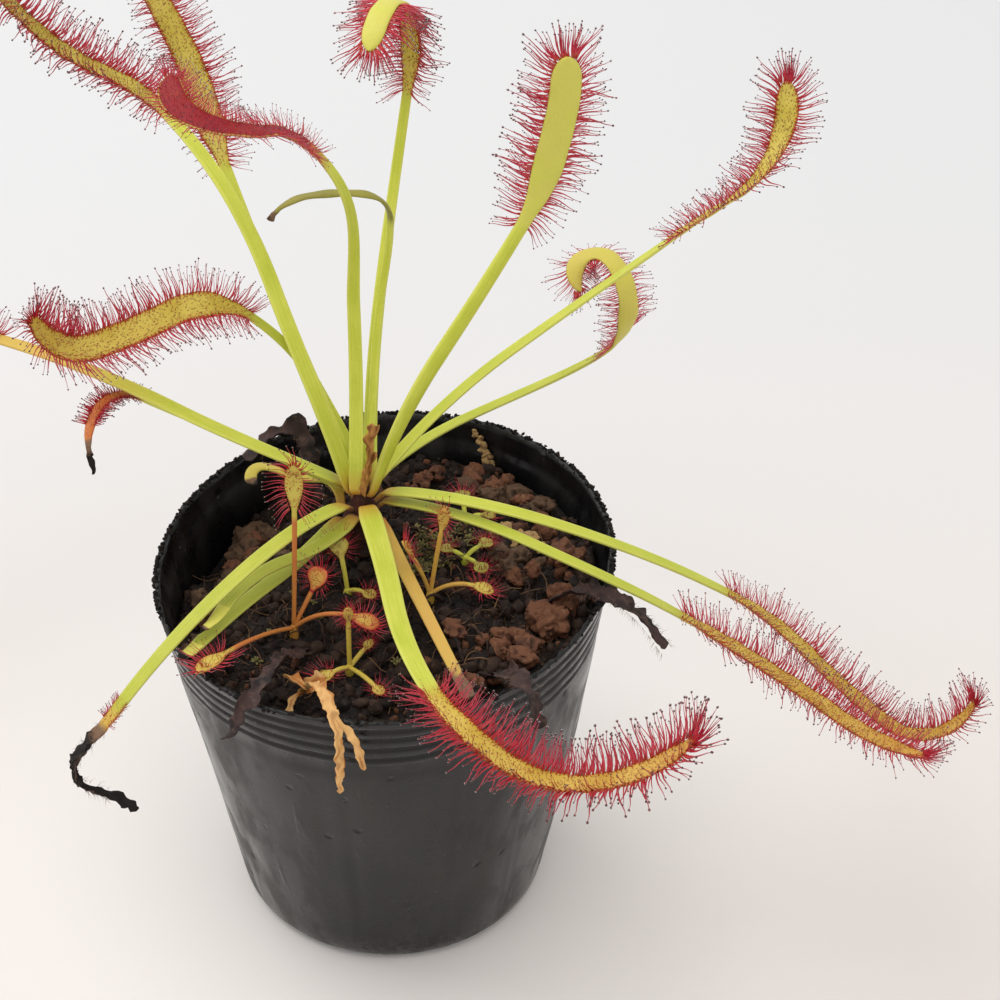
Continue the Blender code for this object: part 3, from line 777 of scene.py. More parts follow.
class Strewing(NodeTool):
    """Strews shapes over a surface, more thickly where its "stony" value is high."""

    INPUTS = {
        "Shapes": "NodeSocketCollection", "Spacing": "NodeSocketFloat", "Density": "NodeSocketFloat",
        "Smallest": "NodeSocketFloat", "Largest": "NodeSocketFloat", "Seed": "NodeSocketInt",
        "Finish": "NodeSocketMaterial", "Second finish": "NodeSocketMaterial",
    }
    OUTPUTS = {"FLOAT_VECTOR": 0, "FLOAT": 1, "INT": 2}

    def build(self) -> Wire:
        """Strew, turn and size the shapes, and give each its own tint."""
        seed = self.given("Seed")
        strewn = self.bench.out("GeometryNodeDistributePointsOnFaces", {"distribute_method": "POISSON"}, {
            "Mesh": self.given("Geometry"), "Distance Min": self.given("Spacing"), "Seed": seed,
            "Density Max": self.given("Density"), "Density Factor": self.named("stony", "FLOAT"),
        })
        size = self.chance("FLOAT", {2: self.given("Smallest"), 3: self.given("Largest"), "Seed": seed})
        aim = self.chance("FLOAT_VECTOR", {0: (0.0, 0.0, 0.0), 1: (TAU, TAU, TAU), "Seed": seed + 3})
        pick = self.chance("INT", {4: 0, 5: LumpShapes.count - 1, "Seed": seed + 5})
        tinted = self.bench.out(
            "GeometryNodeStoreNamedAttribute", {"data_type": "FLOAT", "domain": "INSTANCE"},
            {"Geometry": self.placed(strewn, pick, aim, size), "Name": "tint",
             "Value": self.chance("FLOAT", {"Seed": seed + 7})},
        )
        return self.finished(tinted)

    def chance(self, kind: str, sockets: dict) -> Wire:
        """A random value of one kind, with its limits and its seed."""
        return self.bench.out("FunctionNodeRandomValue", {"data_type": kind}, sockets, self.OUTPUTS[kind])


def shape_box(name: str, meshes: Sequence[bpy.types.Mesh]) -> bpy.types.Collection:
    """A collection, outside the scene, that holds one object for each shape.

    Args:
        name: the collection's name, which its objects carry with a number.
        meshes: the shapes, in the order that picks them.

    Returns:
        The collection.
    """
    box = bpy.data.collections.new(name)
    for number, mesh in enumerate(meshes):
        box.objects.link(bpy.data.objects.new(f"{name}_{number}", mesh))
    return box


class Spot(NamedTuple):
    """Where one small shape stands: its root, its way, the side it bends to, its size and its shape."""

    root: np.ndarray
    way: np.ndarray
    bend: np.ndarray
    size: float
    pick: int = 0


def spots_mesh(name: str, spots: Sequence[Spot]) -> bpy.types.Mesh:
    """A mesh of loose points that carries each spot's aim, size and pick.

    Args:
        name: the mesh's name.
        spots: the spots, in millimetres.

    Returns:
        The mesh, in metres.
    """
    made = bpy.data.meshes.new(name)
    made.from_pydata([tuple(spot.root * MM) for spot in spots], [], [])
    aims = []
    for spot in spots:
        way = unit(spot.way)
        side = np.cross(way, spot.bend)
        side = unit(side) if np.linalg.norm(side) > 1e-6 else unit(np.cross(way, (0.3, 0.9, 0.2)))
        bend = np.cross(side, way)
        turned = Matrix((bend, side, way)).transposed()
        aims += list(turned.to_euler())
    made.attributes.new("aim", "FLOAT_VECTOR", "POINT").data.foreach_set("vector", aims)
    sizes, picks = [spot.size for spot in spots], [float(spot.pick) for spot in spots]
    for label, values in (("size", sizes), ("pick", picks)):
        made.attributes.new(label, "FLOAT", "POINT").data.foreach_set("value", values)
    return made


# Small shapes that are repeated.

class TentacleKind(Enum):
    """The tentacles' forms, in the order of the shape box."""

    STRAIGHT = 0
    BOWED = 1
    HOOKED = 2
    SHORT = 3
    DRIED = 4


@dataclass
class TentacleShapes:
    """The few tentacle forms, each one unit (1 mm) long before it is sized. Each form has its own bow."""

    bows: tuple = (0.05, 0.16, 0.34, 0.10, 0.5)
    stalk_radius: float = 0.030
    tip_radius: float = 0.007
    head: float = 0.023
    drop: float = 0.031

    def mesh(self, kind: TentacleKind) -> bpy.types.Mesh:
        """Make one form along +Z, bending towards +X.

        Args:
            kind: which form.

        Returns:
            Its mesh, 1 mm long, with its tone and whether a face is clear slime.
        """
        short = kind is TentacleKind.SHORT
        bow, grow = self.bows[kind.value], 2.6 if short else 1.0
        skin = Skin()
        rows = 4 if short else 6
        share = np.linspace(0.0, 1.0, rows)
        middle = np.stack([bow * share ** 2, 0.04 * np.sin(share * 5.0), share * (1.0 - 0.25 * bow)], axis=-1)
        radius = (self.stalk_radius + (self.tip_radius - self.stalk_radius) * share ** 0.85) * grow
        sides = 3 if short else 4
        angles = around(sides)
        flat = np.stack([np.cos(angles), np.sin(angles), np.zeros(sides)], axis=-1)
        rings = middle[:, None, :] + radius[:, None, None] * flat[None, :, :]
        tone = np.repeat(share[:, None] * 0.82, sides, axis=1)
        skin.loft(rings, tone=tone, tint=tone, clear=np.zeros_like(tone))
        if kind is not TentacleKind.DRIED:
            self._ball(skin, middle[-1], self.head * grow, 0.0, 5, 3)
        if not short and kind is not TentacleKind.DRIED:
            self._ball(skin, middle[-1] + (0.0, 0.0, 0.010), self.drop, 1.0, 6, 4)
        return skin.mesh("tentacle_" + kind.name.lower())

    @staticmethod
    def _ball(skin: Skin, middle: np.ndarray, radius: float, clear: float, sides: int, rows: int) -> None:
        """Add a slightly long ball.

        Args:
            skin: where it goes.
            middle: its middle.
            radius: its radius across.
            clear: 1 for slime.
            sides: corners round it.
            rows: rows from pole to pole.
        """
        points = [middle + (0.0, 0.0, -1.2 * radius)]
        for row in range(1, rows):
            angle = math.pi * row / rows
            for side in range(sides):
                turn = TAU * side / sides
                points.append(middle + radius * np.array((
                    math.sin(angle) * math.cos(turn), math.sin(angle) * math.sin(turn),
                    -1.2 * math.cos(angle),
                )))
        points.append(middle + (0.0, 0.0, 1.2 * radius))
        faces: list[tuple[int, ...]] = []
        last = len(points) - 1
        for side in range(sides):
            after = (side + 1) % sides
            faces.append((0, 1 + after, 1 + side))
            faces.append((last, last - sides + side, last - sides + after))
            for row in range(rows - 2):
                low = 1 + row * sides
                faces.append((low + side, low + after, low + sides + after, low + sides + side))
        full = np.ones(len(points))
        skin.add(np.array(points), faces, tone=full, tint=full, clear=full * clear)

    def box(self) -> bpy.types.Collection:
        """The shape box with every form in order."""
        return shape_box("tentacle_forms", [self.mesh(kind) for kind in TentacleKind])


@dataclass
class LumpShapes:
    """Angular granules and crumbs, one unit (1 mm) across before they are sized."""

    count: int = 6
    cuts: int = 7
    seed: int = 5

    def mesh(self, name: str, number: int, levels: int) -> bpy.types.Mesh:
        """A ball with noise on it and a few flat cuts.

        Args:
            name: the mesh's name.
            number: which of the forms.
            levels: how finely the ball is divided.

        Returns:
            The mesh.
        """
        draw = random.Random(self.seed * 31 + number)
        ball = bmesh.new()
        bmesh.ops.create_icosphere(ball, subdivisions=levels, radius=0.5)
        planes = []
        for _ in range(self.cuts):
            way = Vector(any_way(draw)).normalized()
            planes.append((way, 0.5 * (0.70 + 0.4 * draw.random())))
        stretch = Vector((1.0 + 0.3 * draw.random(), 0.9, 0.65 + 0.25 * draw.random()))
        for corner in ball.verts:
            spot = corner.co * 3.1 + Vector((number * 7.0, 0.0, 0.0))
            rough = 0.42 * noise.noise(spot) + 0.30 * noise.noise(spot * 2.4) + 0.14 * noise.noise(spot * 6.0)
            corner.co *= 1.0 + rough
            for way, reach in planes:
                over = corner.co.dot(way) - reach
                if over > 0.0:
                    corner.co -= way * over * 0.9
            corner.co = Vector(a * b for a, b in zip(corner.co, stretch)) * MM
        made = bpy.data.meshes.new(name)
        ball.to_mesh(made)
        ball.free()
        made.polygons.foreach_set("use_smooth", [levels > 1] * len(made.polygons))
        return made

    def box(self, name: str, levels: int) -> bpy.types.Collection:
        """A shape box of granules at one fineness."""
        return shape_box(name, [self.mesh(f"{name}_form", number, levels) for number in range(self.count)])


# The plant.

class Age(Enum):
    """How yellow a leaf has turned, from 0 to 1."""

    FRESH = 0.0
    OLIVE = 0.35
    YELLOW = 0.85


# The stem's middle and top, and what all leaves share, in millimetres and shares.
STEM = (-5.0, 11.0)
STEM_TOP = 88.0
SHEATH_LENGTH = 3.0
SHEATH_SHARES = (0.0, 0.3, 0.6, 0.85)
STALK_TIP = 0.82
NEVER = 9.0
SHORT_PITCH = 0.42
TIP_TENTACLES = 36
KINDS = (TentacleKind.STRAIGHT, TentacleKind.BOWED, TentacleKind.HOOKED)
KIND_ODDS = (0.5, 0.4, 0.1)


class Row(NamedTuple):
    """A row of tentacles on each side: its pitch, how far it fans up, its length and its place."""

    pitch: float
    fan: float
    scale: float
    inset: float


FRINGE = (Row(0.62, 8.0, 1.00, 0.98), Row(0.72, 26.0, 0.94, 0.94), Row(0.90, 46.0, 0.72, 0.82),
          Row(1.1, 66.0, 0.42, 0.64))


@dataclass
class Leaf:
    """One leaf on the stem. Lengths are in millimetres and angles in degrees.

    Its root stands at the height base, reach from the stem's axis, towards seat. Turns and rises are its
    headings and slopes at the root, mid stalk, blade's start, 1/3, 2/3 and tip, and twists turn it about
    its midrib there. Shade above 0 makes the blade olive; below 0 it darkens the stalk as painted shade.
    Blush is the orange of the blade and decay how much it shrivels. Dies, fringed and outline are places
    on the blade.
    """

    name: str
    base: float
    reach: float
    seat: float
    stalk: float
    blade: float
    turns: tuple
    rises: tuple
    stalk_width: float
    blade_width: float
    tentacle: float
    age: Age = Age.FRESH
    dies: float = NEVER
    flush: float = 0.0
    shade: float = 0.0
    blush: float = 0.0
    stubby: bool = False
    fringed: tuple = (0.0, 1.0)
    hairs: int = 0
    outline: tuple = ((0.0, 1.0), (1.0, 1.0))
    blunt: float = 0.24
    decay: float = 1.0
    swell: float = 0.22
    twists: tuple = ()
    slot: str = "green_leaf"
    corners: int = 16

    def rib(self) -> Rib:
        """The leaf's midrib."""
        seat = math.radians(self.seat)
        root = (STEM[0] + self.reach * math.cos(seat), STEM[1] + self.reach * math.sin(seat), self.base)
        stalk, third = self.stalk, self.blade / 3.0
        marks = (0.0, stalk / 2, stalk, stalk + third, stalk + 2 * third, stalk + self.blade)
        return Rib(root, marks, self.turns, self.rises, self.twists)

    def widths(self, share: np.ndarray, run: np.ndarray) -> np.ndarray:
        """The leaf's width along it.

        Args:
            share: the place on the blade, below 0 on the stalk.
            run: the length from the root.

        Returns:
            The widths, in millimetres.
        """
        stalk = self.stalk_width * (1.08 - 0.26 * np.clip(run / self.stalk, 0.0, 1.0))
        grow = smooth(np.clip(share / self.swell, 0.0, 1.0))
        blade = self.stalk_width * STALK_TIP * (1.0 - grow) + self.blade_width * grow
        taper = np.clip(share - 1.0 + self.blunt, 0.0, 1.0) / (self.blunt * 1.001)
        taper = np.sqrt(np.clip(1.0 - taper ** 2, 0.02, 1.0))
        width = np.where(share < 0.0, stalk, blade * taper)
        width = width * np.interp(share, *zip(*self.outline))
        return width * (0.42 + 0.58 * np.clip((run + SHEATH_LENGTH) / 5.6, 0.0, 1.0) ** 0.7)

    def death(self, share: np.ndarray) -> np.ndarray:
        """How dead the leaf is along it, from 0 to 1."""
        return self.decay * np.clip((share - self.dies) / 0.22 + 0.3, 0.0, 1.0)

    def foot(self, point: np.ndarray, along: np.ndarray) -> np.ndarray:
        """The short sheath that carries the root back into the crown.

        Args:
            point: the root.
            along: the direction there.

        Returns:
            A few points from inside the crown to just before the root.
        """
        seat = math.radians(self.seat)
        inside = min(1.7, self.reach * 0.5)
        drop = 2.6 if self.reach > 4.0 else 2.2
        x, y = STEM[0] + inside * math.cos(seat), STEM[1] + inside * math.sin(seat)
        start = np.array((x, y, self.base - drop))
        middle = point - along * 1.5
        share = np.array(SHEATH_SHARES)[:, None]
        return start * (1 - share) ** 2 + middle * 2 * share * (1 - share) + point * share ** 2

    def skin(self) -> Skin:
        """The leaf's own surface, with the values its finish reads."""
        rib = self.rib()
        run = np.concatenate([
            np.arange(0.0, self.stalk, 1.2), np.arange(self.stalk, rib.length - 0.3, 0.7),
            [rib.length - 0.18, rib.length],
        ])
        points, along, across, upper = rib.frames(run)
        sheath = self.foot(points[0], along[0])
        lead = len(sheath)
        points = np.vstack([sheath, points])
        along, across, upper = (
            np.vstack([np.repeat(part[:1], lead, 0), part]) for part in (along, across, upper))
        run = np.concatenate([np.linspace(-SHEATH_LENGTH, -0.6, lead), run])
        share = np.where(run < self.stalk, run / self.stalk - 1.0, (run - self.stalk) / self.blade)
        width = self.widths(share, run)
        width[-1] *= 0.45
        dead = self.death(share) if self.dies < NEVER else np.zeros_like(share)
        on_blade = np.clip((share + 0.05) / 0.15, 0.0, 1.0)
        angle = around(self.corners)
        level = fuller(np.cos(angle), 0.85)
        tall = np.where(np.sin(angle) > 0.0, 0.42, 0.66) * np.sin(angle)
        thick = 1.25 * (1.0 - on_blade) + 0.85 * on_blade
        trough = 0.30 * (1.0 - on_blade) + 0.10 * on_blade
        lift = thick[:, None] * tall[None, :] - np.where(np.sin(angle) > 0.1, 1.0, 0.0)[None, :] * (
            trough[:, None] * (1.0 - level[None, :] ** 2))
        half = width[:, None] / 2.0 * level[None, :]
        draw = random.Random(self.name)
        phase = draw.random() * TAU
        curl = 0.10 * np.sin(run * 0.9 + phase)[:, None] * on_blade[:, None] * level[None, :]
        curl = curl + dead[:, None] * level[None, :] ** 2 * (0.45 + 0.35 * np.sin(run * 1.1 + phase))[:, None]
        rings = sections(points, across, upper, half, lift + curl)
        for row, amount in enumerate(dead):
            if amount > 0.05:
                for corner in range(self.corners):
                    push = noise.noise_vector(Vector(rings[row, corner]) * 0.8 + Vector((phase, 0.0, 0.0)))
                    rings[row, corner] += np.array(push) * 0.8 * amount * self.decay
        face = np.clip(np.sin(angle) * 4.0 + 0.5, 0.0, 1.0) * (1.0 if self.tentacle else 0.0)
        base = np.clip(1.0 - (run + SHEATH_LENGTH) / 7.0, 0.0, 1.0)
        growing = 1.0 if self.flush > 0.5 else 0.55 + 0.8 * np.clip(share, 0.0, 1.0) ** 2
        flush = self.flush * on_blade * growing
        flush = np.maximum(flush, 0.75 * base)
        dead = np.maximum(dead, 0.42 * np.clip(1.0 - (run + SHEATH_LENGTH) / 4.4, 0.0, 1.0))
        old = np.maximum(self.age.value, self.blush * np.clip((share + 0.5) / 0.3, 0.0, 1.0))
        skin = Skin()
        skin.loft(
            rings, skin=spread(half.shape, half, run[:, None], self.shade),
            place=spread(half.shape, face, share[:, None], level),
            health=spread(half.shape, dead[:, None], flush[:, None], old[:, None]),
        )
        return skin

    def fringe(self) -> list[Spot]:
        """Where the blade's tentacles stand."""
        spots: list[Spot] = []
        if self.tentacle == 0.0:
            return spots
        draw = random.Random(self.name + "fringe")
        rib = self.rib()
        first, last = self.fringed
        close = 0.6 if self.stubby else 1.0
        for row in FRINGE:
            count = int(self.blade * (last - first) / (row.pitch * close))
            for number in range(count * 2):
                sign = 1.0 if number % 2 else -1.0
                place = number // 2 + 0.5 * (number % 2) + 0.6 * draw.random()
                share = first + (last - first) * place / count
                self._stand(spots, rib, draw, share, sign, row.fan, self.tentacle * row.scale, row.inset)
        count = int(self.blade * (last - first) / SHORT_PITCH)
        for number in range(count):
            share = first + (last - first) * (number + draw.random()) / count
            sign = draw.choice((-1.0, 1.0))
            self._stand(spots, rib, draw, share, sign, 80.0 + 14.0 * draw.random(), 0.8, 0.5 * draw.random())
        if last == 1.0:
            for _ in range(TIP_TENTACLES):
                sign = draw.uniform(-1.0, 1.0)
                share = 1.0 - 0.02 * draw.random()
                fan = 60.0 * draw.random()
                self._stand(spots, rib, draw, share, sign, fan, 0.9 * self.tentacle, 0.9, 1.2)
        return spots

    def _stand(self, spots: list[Spot], rib: Rib, draw: random.Random, share: float, sign: float, fan: float,
               reach: float, inset: float, tip: float = 0.0) -> None:
        """Stand one tentacle on the blade.

        Args:
            spots: the list it joins.
            rib: the leaf's midrib.
            draw: the seeded draw.
            share: its place along the blade.
            sign: which edge it is on.
            fan: how far it is raised from the blade's plane, in degrees.
            reach: its length, in millimetres.
            inset: how far out from the midrib it stands, 1 at the edge.
            tip: how strongly it points past the leaf's tip.
        """
        run = min(rib.length, self.stalk + max(-0.06, share) * self.blade)
        point, along, across, upper = rib.at(run)
        width = float(self.widths(np.array([min(share, 0.96)]), np.array([run]))[0])
        tilt = math.radians(fan + draw.gauss(0.0, 8.0))
        lean = 0.12 * (share - 0.4) - 0.75 * math.exp(-max(0.0, share) / 0.07) + draw.gauss(0.0, 0.12)
        lean += max(0.0, share - 0.84) * 6.0 + tip * draw.random()
        way = across * sign * math.cos(tilt) + upper * math.sin(tilt) + along * lean
        profile = 0.66 + 0.34 * math.sin(math.pi * min(0.62, max(0.0, share) * 0.9 + 0.10))
        root = point + across * sign * width * 0.46 * inset + upper * (0.12 + 0.10 * (1.0 - inset))
        length = reach * profile * (1.0 + draw.gauss(0.0, 0.16))
        if self.stubby or reach < 1.0:
            kind = TentacleKind.SHORT
        else:
            kind = draw.choices(KINDS, KIND_ODDS)[0]
        spots.append(Spot(root, way, upper + along * draw.gauss(0.0, 0.4), length, kind.value))

    def dried(self) -> list[Spot]:
        """Where the dead part's curled hairs stand."""
        draw = random.Random(self.name + "dried")
        rib = self.rib()
        spots: list[Spot] = []
        for _ in range(self.hairs):
            share = draw.uniform(max(0.0, self.dies - 0.1), 0.8)
            point, along, across, upper = rib.at(self.stalk + share * self.blade)
            sign = draw.choice((-1.0, 1.0))
            way = across * sign + upper * draw.gauss(0.1, 0.5) + along * draw.gauss(0.0, 0.5)
            root = point + across * sign * self.blade_width * 0.40
            spots.append(Spot(root, way, along, draw.uniform(0.8, 2.0), TentacleKind.DRIED.value))
        return spots


LEAVES = (
    Leaf("leaf_back_left_long", 88.9, 2.6, 176, 83, 50,
         (146, 118, 135, 153, 164, 177), (74, 40, 19, 8, 41, 59), 3.4, 4.2, 6.8, shade=0.32, flush=0.06),
    Leaf("leaf_back_left_broad", 88.9, 2.6, 129, 67, 45,
         (129, 121, 115, 113, 133, 142), (52, 39, 33, 39, 46, 56), 3, 6, 5.2, shade=0.12, flush=0.05),
    Leaf("leaf_left_high_arch", 88.9, 1.6, 221, 70, 42,
         (88, 95, 9, 57, -23, -104), (45, 67, 125, 155, 171, 168), 2.7, 4.6, 3.8, flush=1,
         outline=((0, 1), (0.55, 1), (0.85, 1.3), (1, 1.45)),
         twists=(0, 0, 162, 174, 170, 182)),
    Leaf("leaf_back_upright", 88.9, 2.6, 51, 77, 42,
         (93, 82, 74, 60, 74, 75), (35, 43, 60, 102, 164, 227), 2.5, 4.6, 6, blunt=0.12),
    Leaf("leaf_slim_arch", 88.9, 0.6, 55, 52, 31,
         (80, 88, 42, 19, -7, -16), (44, 47, 88, 163, 196, 243), 1.7, 2.3, 0, shade=0.9,
         dies=0.92, flush=0.05, slot="olive_leaf"),
    Leaf("leaf_right_back_view", 88.9, 2.6, 335, 59, 36,
         (38, 29, 25, 15, 7, 0), (67, 52, 57, 75, 80, 94), 3.1, 5.8, 6.2, blunt=0.14,
         swell=0.4, twists=(-70, -118, -118, -105, -94, -76)),
    Leaf("leaf_right_high", 86.8, 4.6, 60, 74, 41,
         (39, 21, 18, 20, 55, 101), (38, 30, 31, 25, 41, 53), 2.7, 4.2, 5.6, blunt=0.13,
         outline=((0, 0.95), (0.5, 1), (0.75, 1.1), (1, 1.15)), twists=(0, 0, -20, -30, -15, 10)),
    Leaf("leaf_back_right_curl", 85.6, 4.5, 77, 63, 40,
         (65, 39, -12, -71, -50, 145), (-5, -1, 43, 83, 174, 236), 2.4, 4.2, 4.2, shade=-0.12, flush=0.14),
    Leaf("leaf_right_long", 86.2, 5, 18, 75, 63,
         (-40, -5, 10, -28, -37, 32), (28, -18, -38, -37, -18, 68), 2.9, 3.6, 5, shade=-0.12, flush=0.26),
    Leaf("leaf_right_low", 84.2, 5, 15, 66, 57,
         (-36, -29, 6, -7, -27, -23), (21, -6, -39, -35, -24, 2), 2.6, 4, 5.2, shade=-0.22, flush=0.32),
    Leaf("leaf_front_arch", 86.6, 4.5, 287, 53, 57,
         (-75, -80, -66, -35, -8, 19), (-1, -1, 4, -16, 19, 40), 4.2, 4.5, 7, shade=-0.10, flush=0.30),
    Leaf("leaf_front_old", 83, 5, 315, 44, 6,
         (-67, -68, -70, -70, -75, -79), (-10, -6, 0, 6, 9, 11), 2.7, 2.6, 0, Age.YELLOW, dies=-0.12,
         decay=0.5, slot="old_leaf"),
    Leaf("leaf_front_left_withered", 86.2, 4.7, 220, 65, 32,
         (-118, -132, -141, -168, -160, -210), (26, -13, -41, -48, -139, -168), 3.3, 3, 1.7, dies=0.14,
         shade=-0.25, flush=0.5, stubby=True, fringed=(-0.06, 0.10), hairs=150,
         outline=((0, 1), (0.5, 0.95), (0.60, 0.4), (0.76, 0.42), (0.90, 1.15), (1, 0.5))),
    Leaf("leaf_front_left_second", 84.2, 4.6, 250, 36, 8,
         (-121, -139, -115, -112, -122, -135), (-4, 10, -6, -1, 1, -4), 3.2, 2.6, 0, shade=-0.45, dies=0.8,
         outline=((0, 1), (0.5, 0.9), (1, 0.35))),
    Leaf("leaf_front_left_broad", 82, 5, 209, 44, 5,
         (-120, -125, -121, -126, -132, -136), (-3, 4, -1, -5, -8, -10), 3.5, 2.8, 0, shade=-0.5, dies=0.6,
         outline=((0, 1), (0.4, 0.9), (1, 0.35))),
    Leaf("leaf_left_long", 86.9, 5, 137, 75, 46,
         (-161, -197, -207, -191, -177, -167), (38, 20, -3, -1, 8, 14), 3.4, 4.2, 6, flush=0.25, blush=0.75),
    Leaf("leaf_left_bent_tip", 84.9, 5, 128, 44, 25,
         (186, 179, 162, 245, 268, 309), (35, 29, 14, 0, -17, -89), 2.2, 2, 2.2, flush=0.70, dies=0.74,
         stubby=True, fringed=(0, 0.6), twists=(0, 0, 0, -16, 10, 44),
         outline=((0, 1), (0.6, 1), (0.75, 0.62), (1, 0.75))),
    Leaf("leaf_left_forward", 89.2, 2.9, 89, 40, 53,
         (111, 139, 199, 217, 228, 206), (17, 51, 46, -6, 11, 78), 2.2, 5.6, 5.6, flush=0.12,
         twists=(0, -20, -45, -32, -34, -60)),
    Leaf("leaf_left_pale_short", 82.8, 5, 150, 15, 10,
         (96, 178, 162, 193, 255, 311), (47, -7, 18, 17, -12, -22), 2, 2.4, 0, Age.OLIVE, dies=0.85,
         slot="old_leaf"),
)


@dataclass
class Foliage:
    """All the leaves on the stem with their tentacles."""

    placing: Placing
    forms: bpy.types.Collection

    def build(self) -> None:
        """Make each leaf and its fringe."""
        for leaf in LEAVES:
            settle(leaf.skin().piece(leaf.name + "_look", LEAF), leaf.slot, leaf.name)
            self.fringe(leaf.name + "_tentacles", leaf.fringe(), leaf.slot)
            self.fringe(leaf.name + "_hairs", leaf.dried(), leaf.slot, HAIR)

    def fringe(self, name: str, spots: Sequence[Spot], slot: str, finish: Finish = TENTACLE) -> None:
        """Place tentacles, if there are any.

        Args:
            name: the piece's name.
            spots: where they stand.
            slot: the record's material slot.
            finish: their finish.
        """
        if spots:
            piece = self.placing.run(
                name, spots_mesh(name, spots), Shapes=self.forms,
                Finish=finish.material(), Second_finish=DROP.material(),
            )
            settle(piece, slot)


class Sprout(NamedTuple):
    """One small leaf of a plantlet: its direction, the stalk and the paddle, in degrees and mm."""

    turn: float
    rise: float
    bend: float
    stalk: float
    paddle: float
    width: float
    swing: float = 0.0
    red: float = 0.2


@dataclass
class Plantlet:
    """A small sundew rooted in the peat. Flush, age and shade set its stalks' and paddles' colours."""

    name: str
    x: float
    y: float
    foot: float
    flush: float
    age: float
    shade: float
    slot: str
    sprouts: tuple
    sunk: float = 67.8
    corners: int = 12

    def ribs(self, level: float) -> list[Rib]:
        """The midrib of each small leaf, from the peat's level."""
        ribs = []
        for sprout in self.sprouts:
            marks = (0.0, sprout.stalk, sprout.stalk + sprout.paddle)
            turns = (sprout.turn, sprout.turn + sprout.swing * 0.5, sprout.turn + sprout.swing)
            rises = (sprout.rise, sprout.rise + sprout.bend, sprout.rise + sprout.bend * 1.4)
            ribs.append(Rib((self.x, self.y, level + self.foot - 0.6), marks, turns, rises))
        return ribs

    def skin(self, level: float) -> Skin:
        """The foot and the leaves as closed bodies.

        Args:
            level: the peat's level there.

        Returns:
            The bodies, with the values their finish reads.
        """
        skin = Skin()
        angle = around(8)
        flat = np.stack([np.cos(angle), np.sin(angle), 0.0 * angle], axis=-1)
        rows = ((0.6, self.sunk), (0.85, level - 0.5), (0.9, level + 0.4), (0.6, level + self.foot),
                (0.2, level + self.foot + 0.3))
        rings = np.array([np.array((self.x, self.y, height)) + flat * radius for radius, height in rows])
        shape = rings.shape[:2]
        skin.loft(rings, skin=rings, place=spread(shape, 0.0, -0.5, 0.0),
                  health=spread(shape, 0.0, 0.6 * self.flush, self.age))
        for sprout, rib in zip(self.sprouts, self.ribs(level)):
            self._leaf(skin, sprout, rib)
        return skin

    def _leaf(self, skin: Skin, sprout: Sprout, rib: Rib) -> None:
        """Add one small leaf.

        Args:
            skin: where it goes.
            sprout: its sizes.
            rib: its midrib.
        """
        run = np.concatenate([
            np.linspace(0.0, sprout.stalk * 0.94, 12), np.linspace(sprout.stalk, rib.length, 12)])
        points, _, across, upper = rib.frames(run)
        share = np.where(run < sprout.stalk, run / sprout.stalk - 1.0, (run - sprout.stalk) / sprout.paddle)
        swell = 0.24 + 0.76 * smooth(np.clip(share / 0.58, 0.0, 1.0))
        cap = np.sqrt(np.clip(1.0 - (np.clip(share - 0.58, 0.0, 1.0) / 0.43) ** 2, 0.03, 1.0))
        paddle = np.maximum(1.0 - share * 2.0, sprout.width * swell * cap)
        width = np.where(share < 0.0, 1.0 + 0.15 * share, paddle)
        thick = np.where(share < 0.0, 0.85, 0.62)
        angle = around(self.corners)
        level = np.cos(angle)
        half = width[:, None] / 2.0 * level[None, :]
        dish = 0.10 * half ** 2
        lift = thick[:, None] * 0.5 * np.sin(angle)[None, :] + np.where(share[:, None] > 0.0, dish, 0.0)
        stalk = share[:, None] < 0.0
        rim = np.maximum(np.abs(level)[None, :], np.abs(2.0 * share[:, None] - 1.0)) ** 1.6
        flush = np.where(stalk, 0.62 * self.flush, sprout.red * (0.25 + 0.75 * rim))
        old = np.where(stalk, max(self.age, 0.7 * self.flush), self.age)
        skin.loft(
            sections(points, across, upper, half, lift),
            skin=spread(half.shape, half, run[:, None], self.shade),
            place=spread(half.shape, 0.0, share[:, None], level), health=spread(half.shape, 0.0, flush, old),
        )

    def fringe(self, level: float) -> list[Spot]:
        """Where the paddles' tentacles stand.

        Args:
            level: the peat's level there.

        Returns:
            The spots.
        """
        draw = random.Random(self.name)
        spots: list[Spot] = []
        for sprout, rib in zip(self.sprouts, self.ribs(level)):
            count = int(26 + 3.8 * sprout.paddle)
            longest = 1.7 + 0.33 * sprout.paddle
            for number in range(count):
                turn = math.pi * (2.0 * (number + 0.5) / count - 1.0) * 0.86
                inset = 1.0 if number % 3 else 0.6
                place = 0.5 + 0.46 * math.cos(turn) * inset
                point, along, across, upper = rib.at(sprout.stalk + sprout.paddle * place)
                root = point + across * math.sin(turn) * sprout.width * 0.46 * inset + upper * 0.15
                fan = 0.35 + 0.9 * (1.0 - inset) + draw.gauss(0.0, 0.12)
                way = across * math.sin(turn) + along * math.cos(turn) * 0.9 + upper * fan
                length = longest * (0.82 + 0.18 * math.cos(turn)) * (1.0 if inset == 1.0 else 0.6)
                length *= 1.0 + draw.gauss(0.0, 0.12)
                spots.append(Spot(root, way, upper, length, draw.choice((0, 1, 1, 2))))
            for _ in range(int(count * 0.5)):
                stop = sprout.stalk + sprout.paddle * (0.15 + 0.75 * draw.random())
                point, along, across, upper = rib.at(stop)
                root = point + across * draw.uniform(-0.3, 0.3) * sprout.width + upper * 0.25
                way = upper + across * draw.gauss(0.0, 0.3) + along * draw.gauss(0.0, 0.3)
                spots.append(Spot(root, way, along, draw.uniform(0.7, 1.2), TentacleKind.SHORT.value))
        return spots


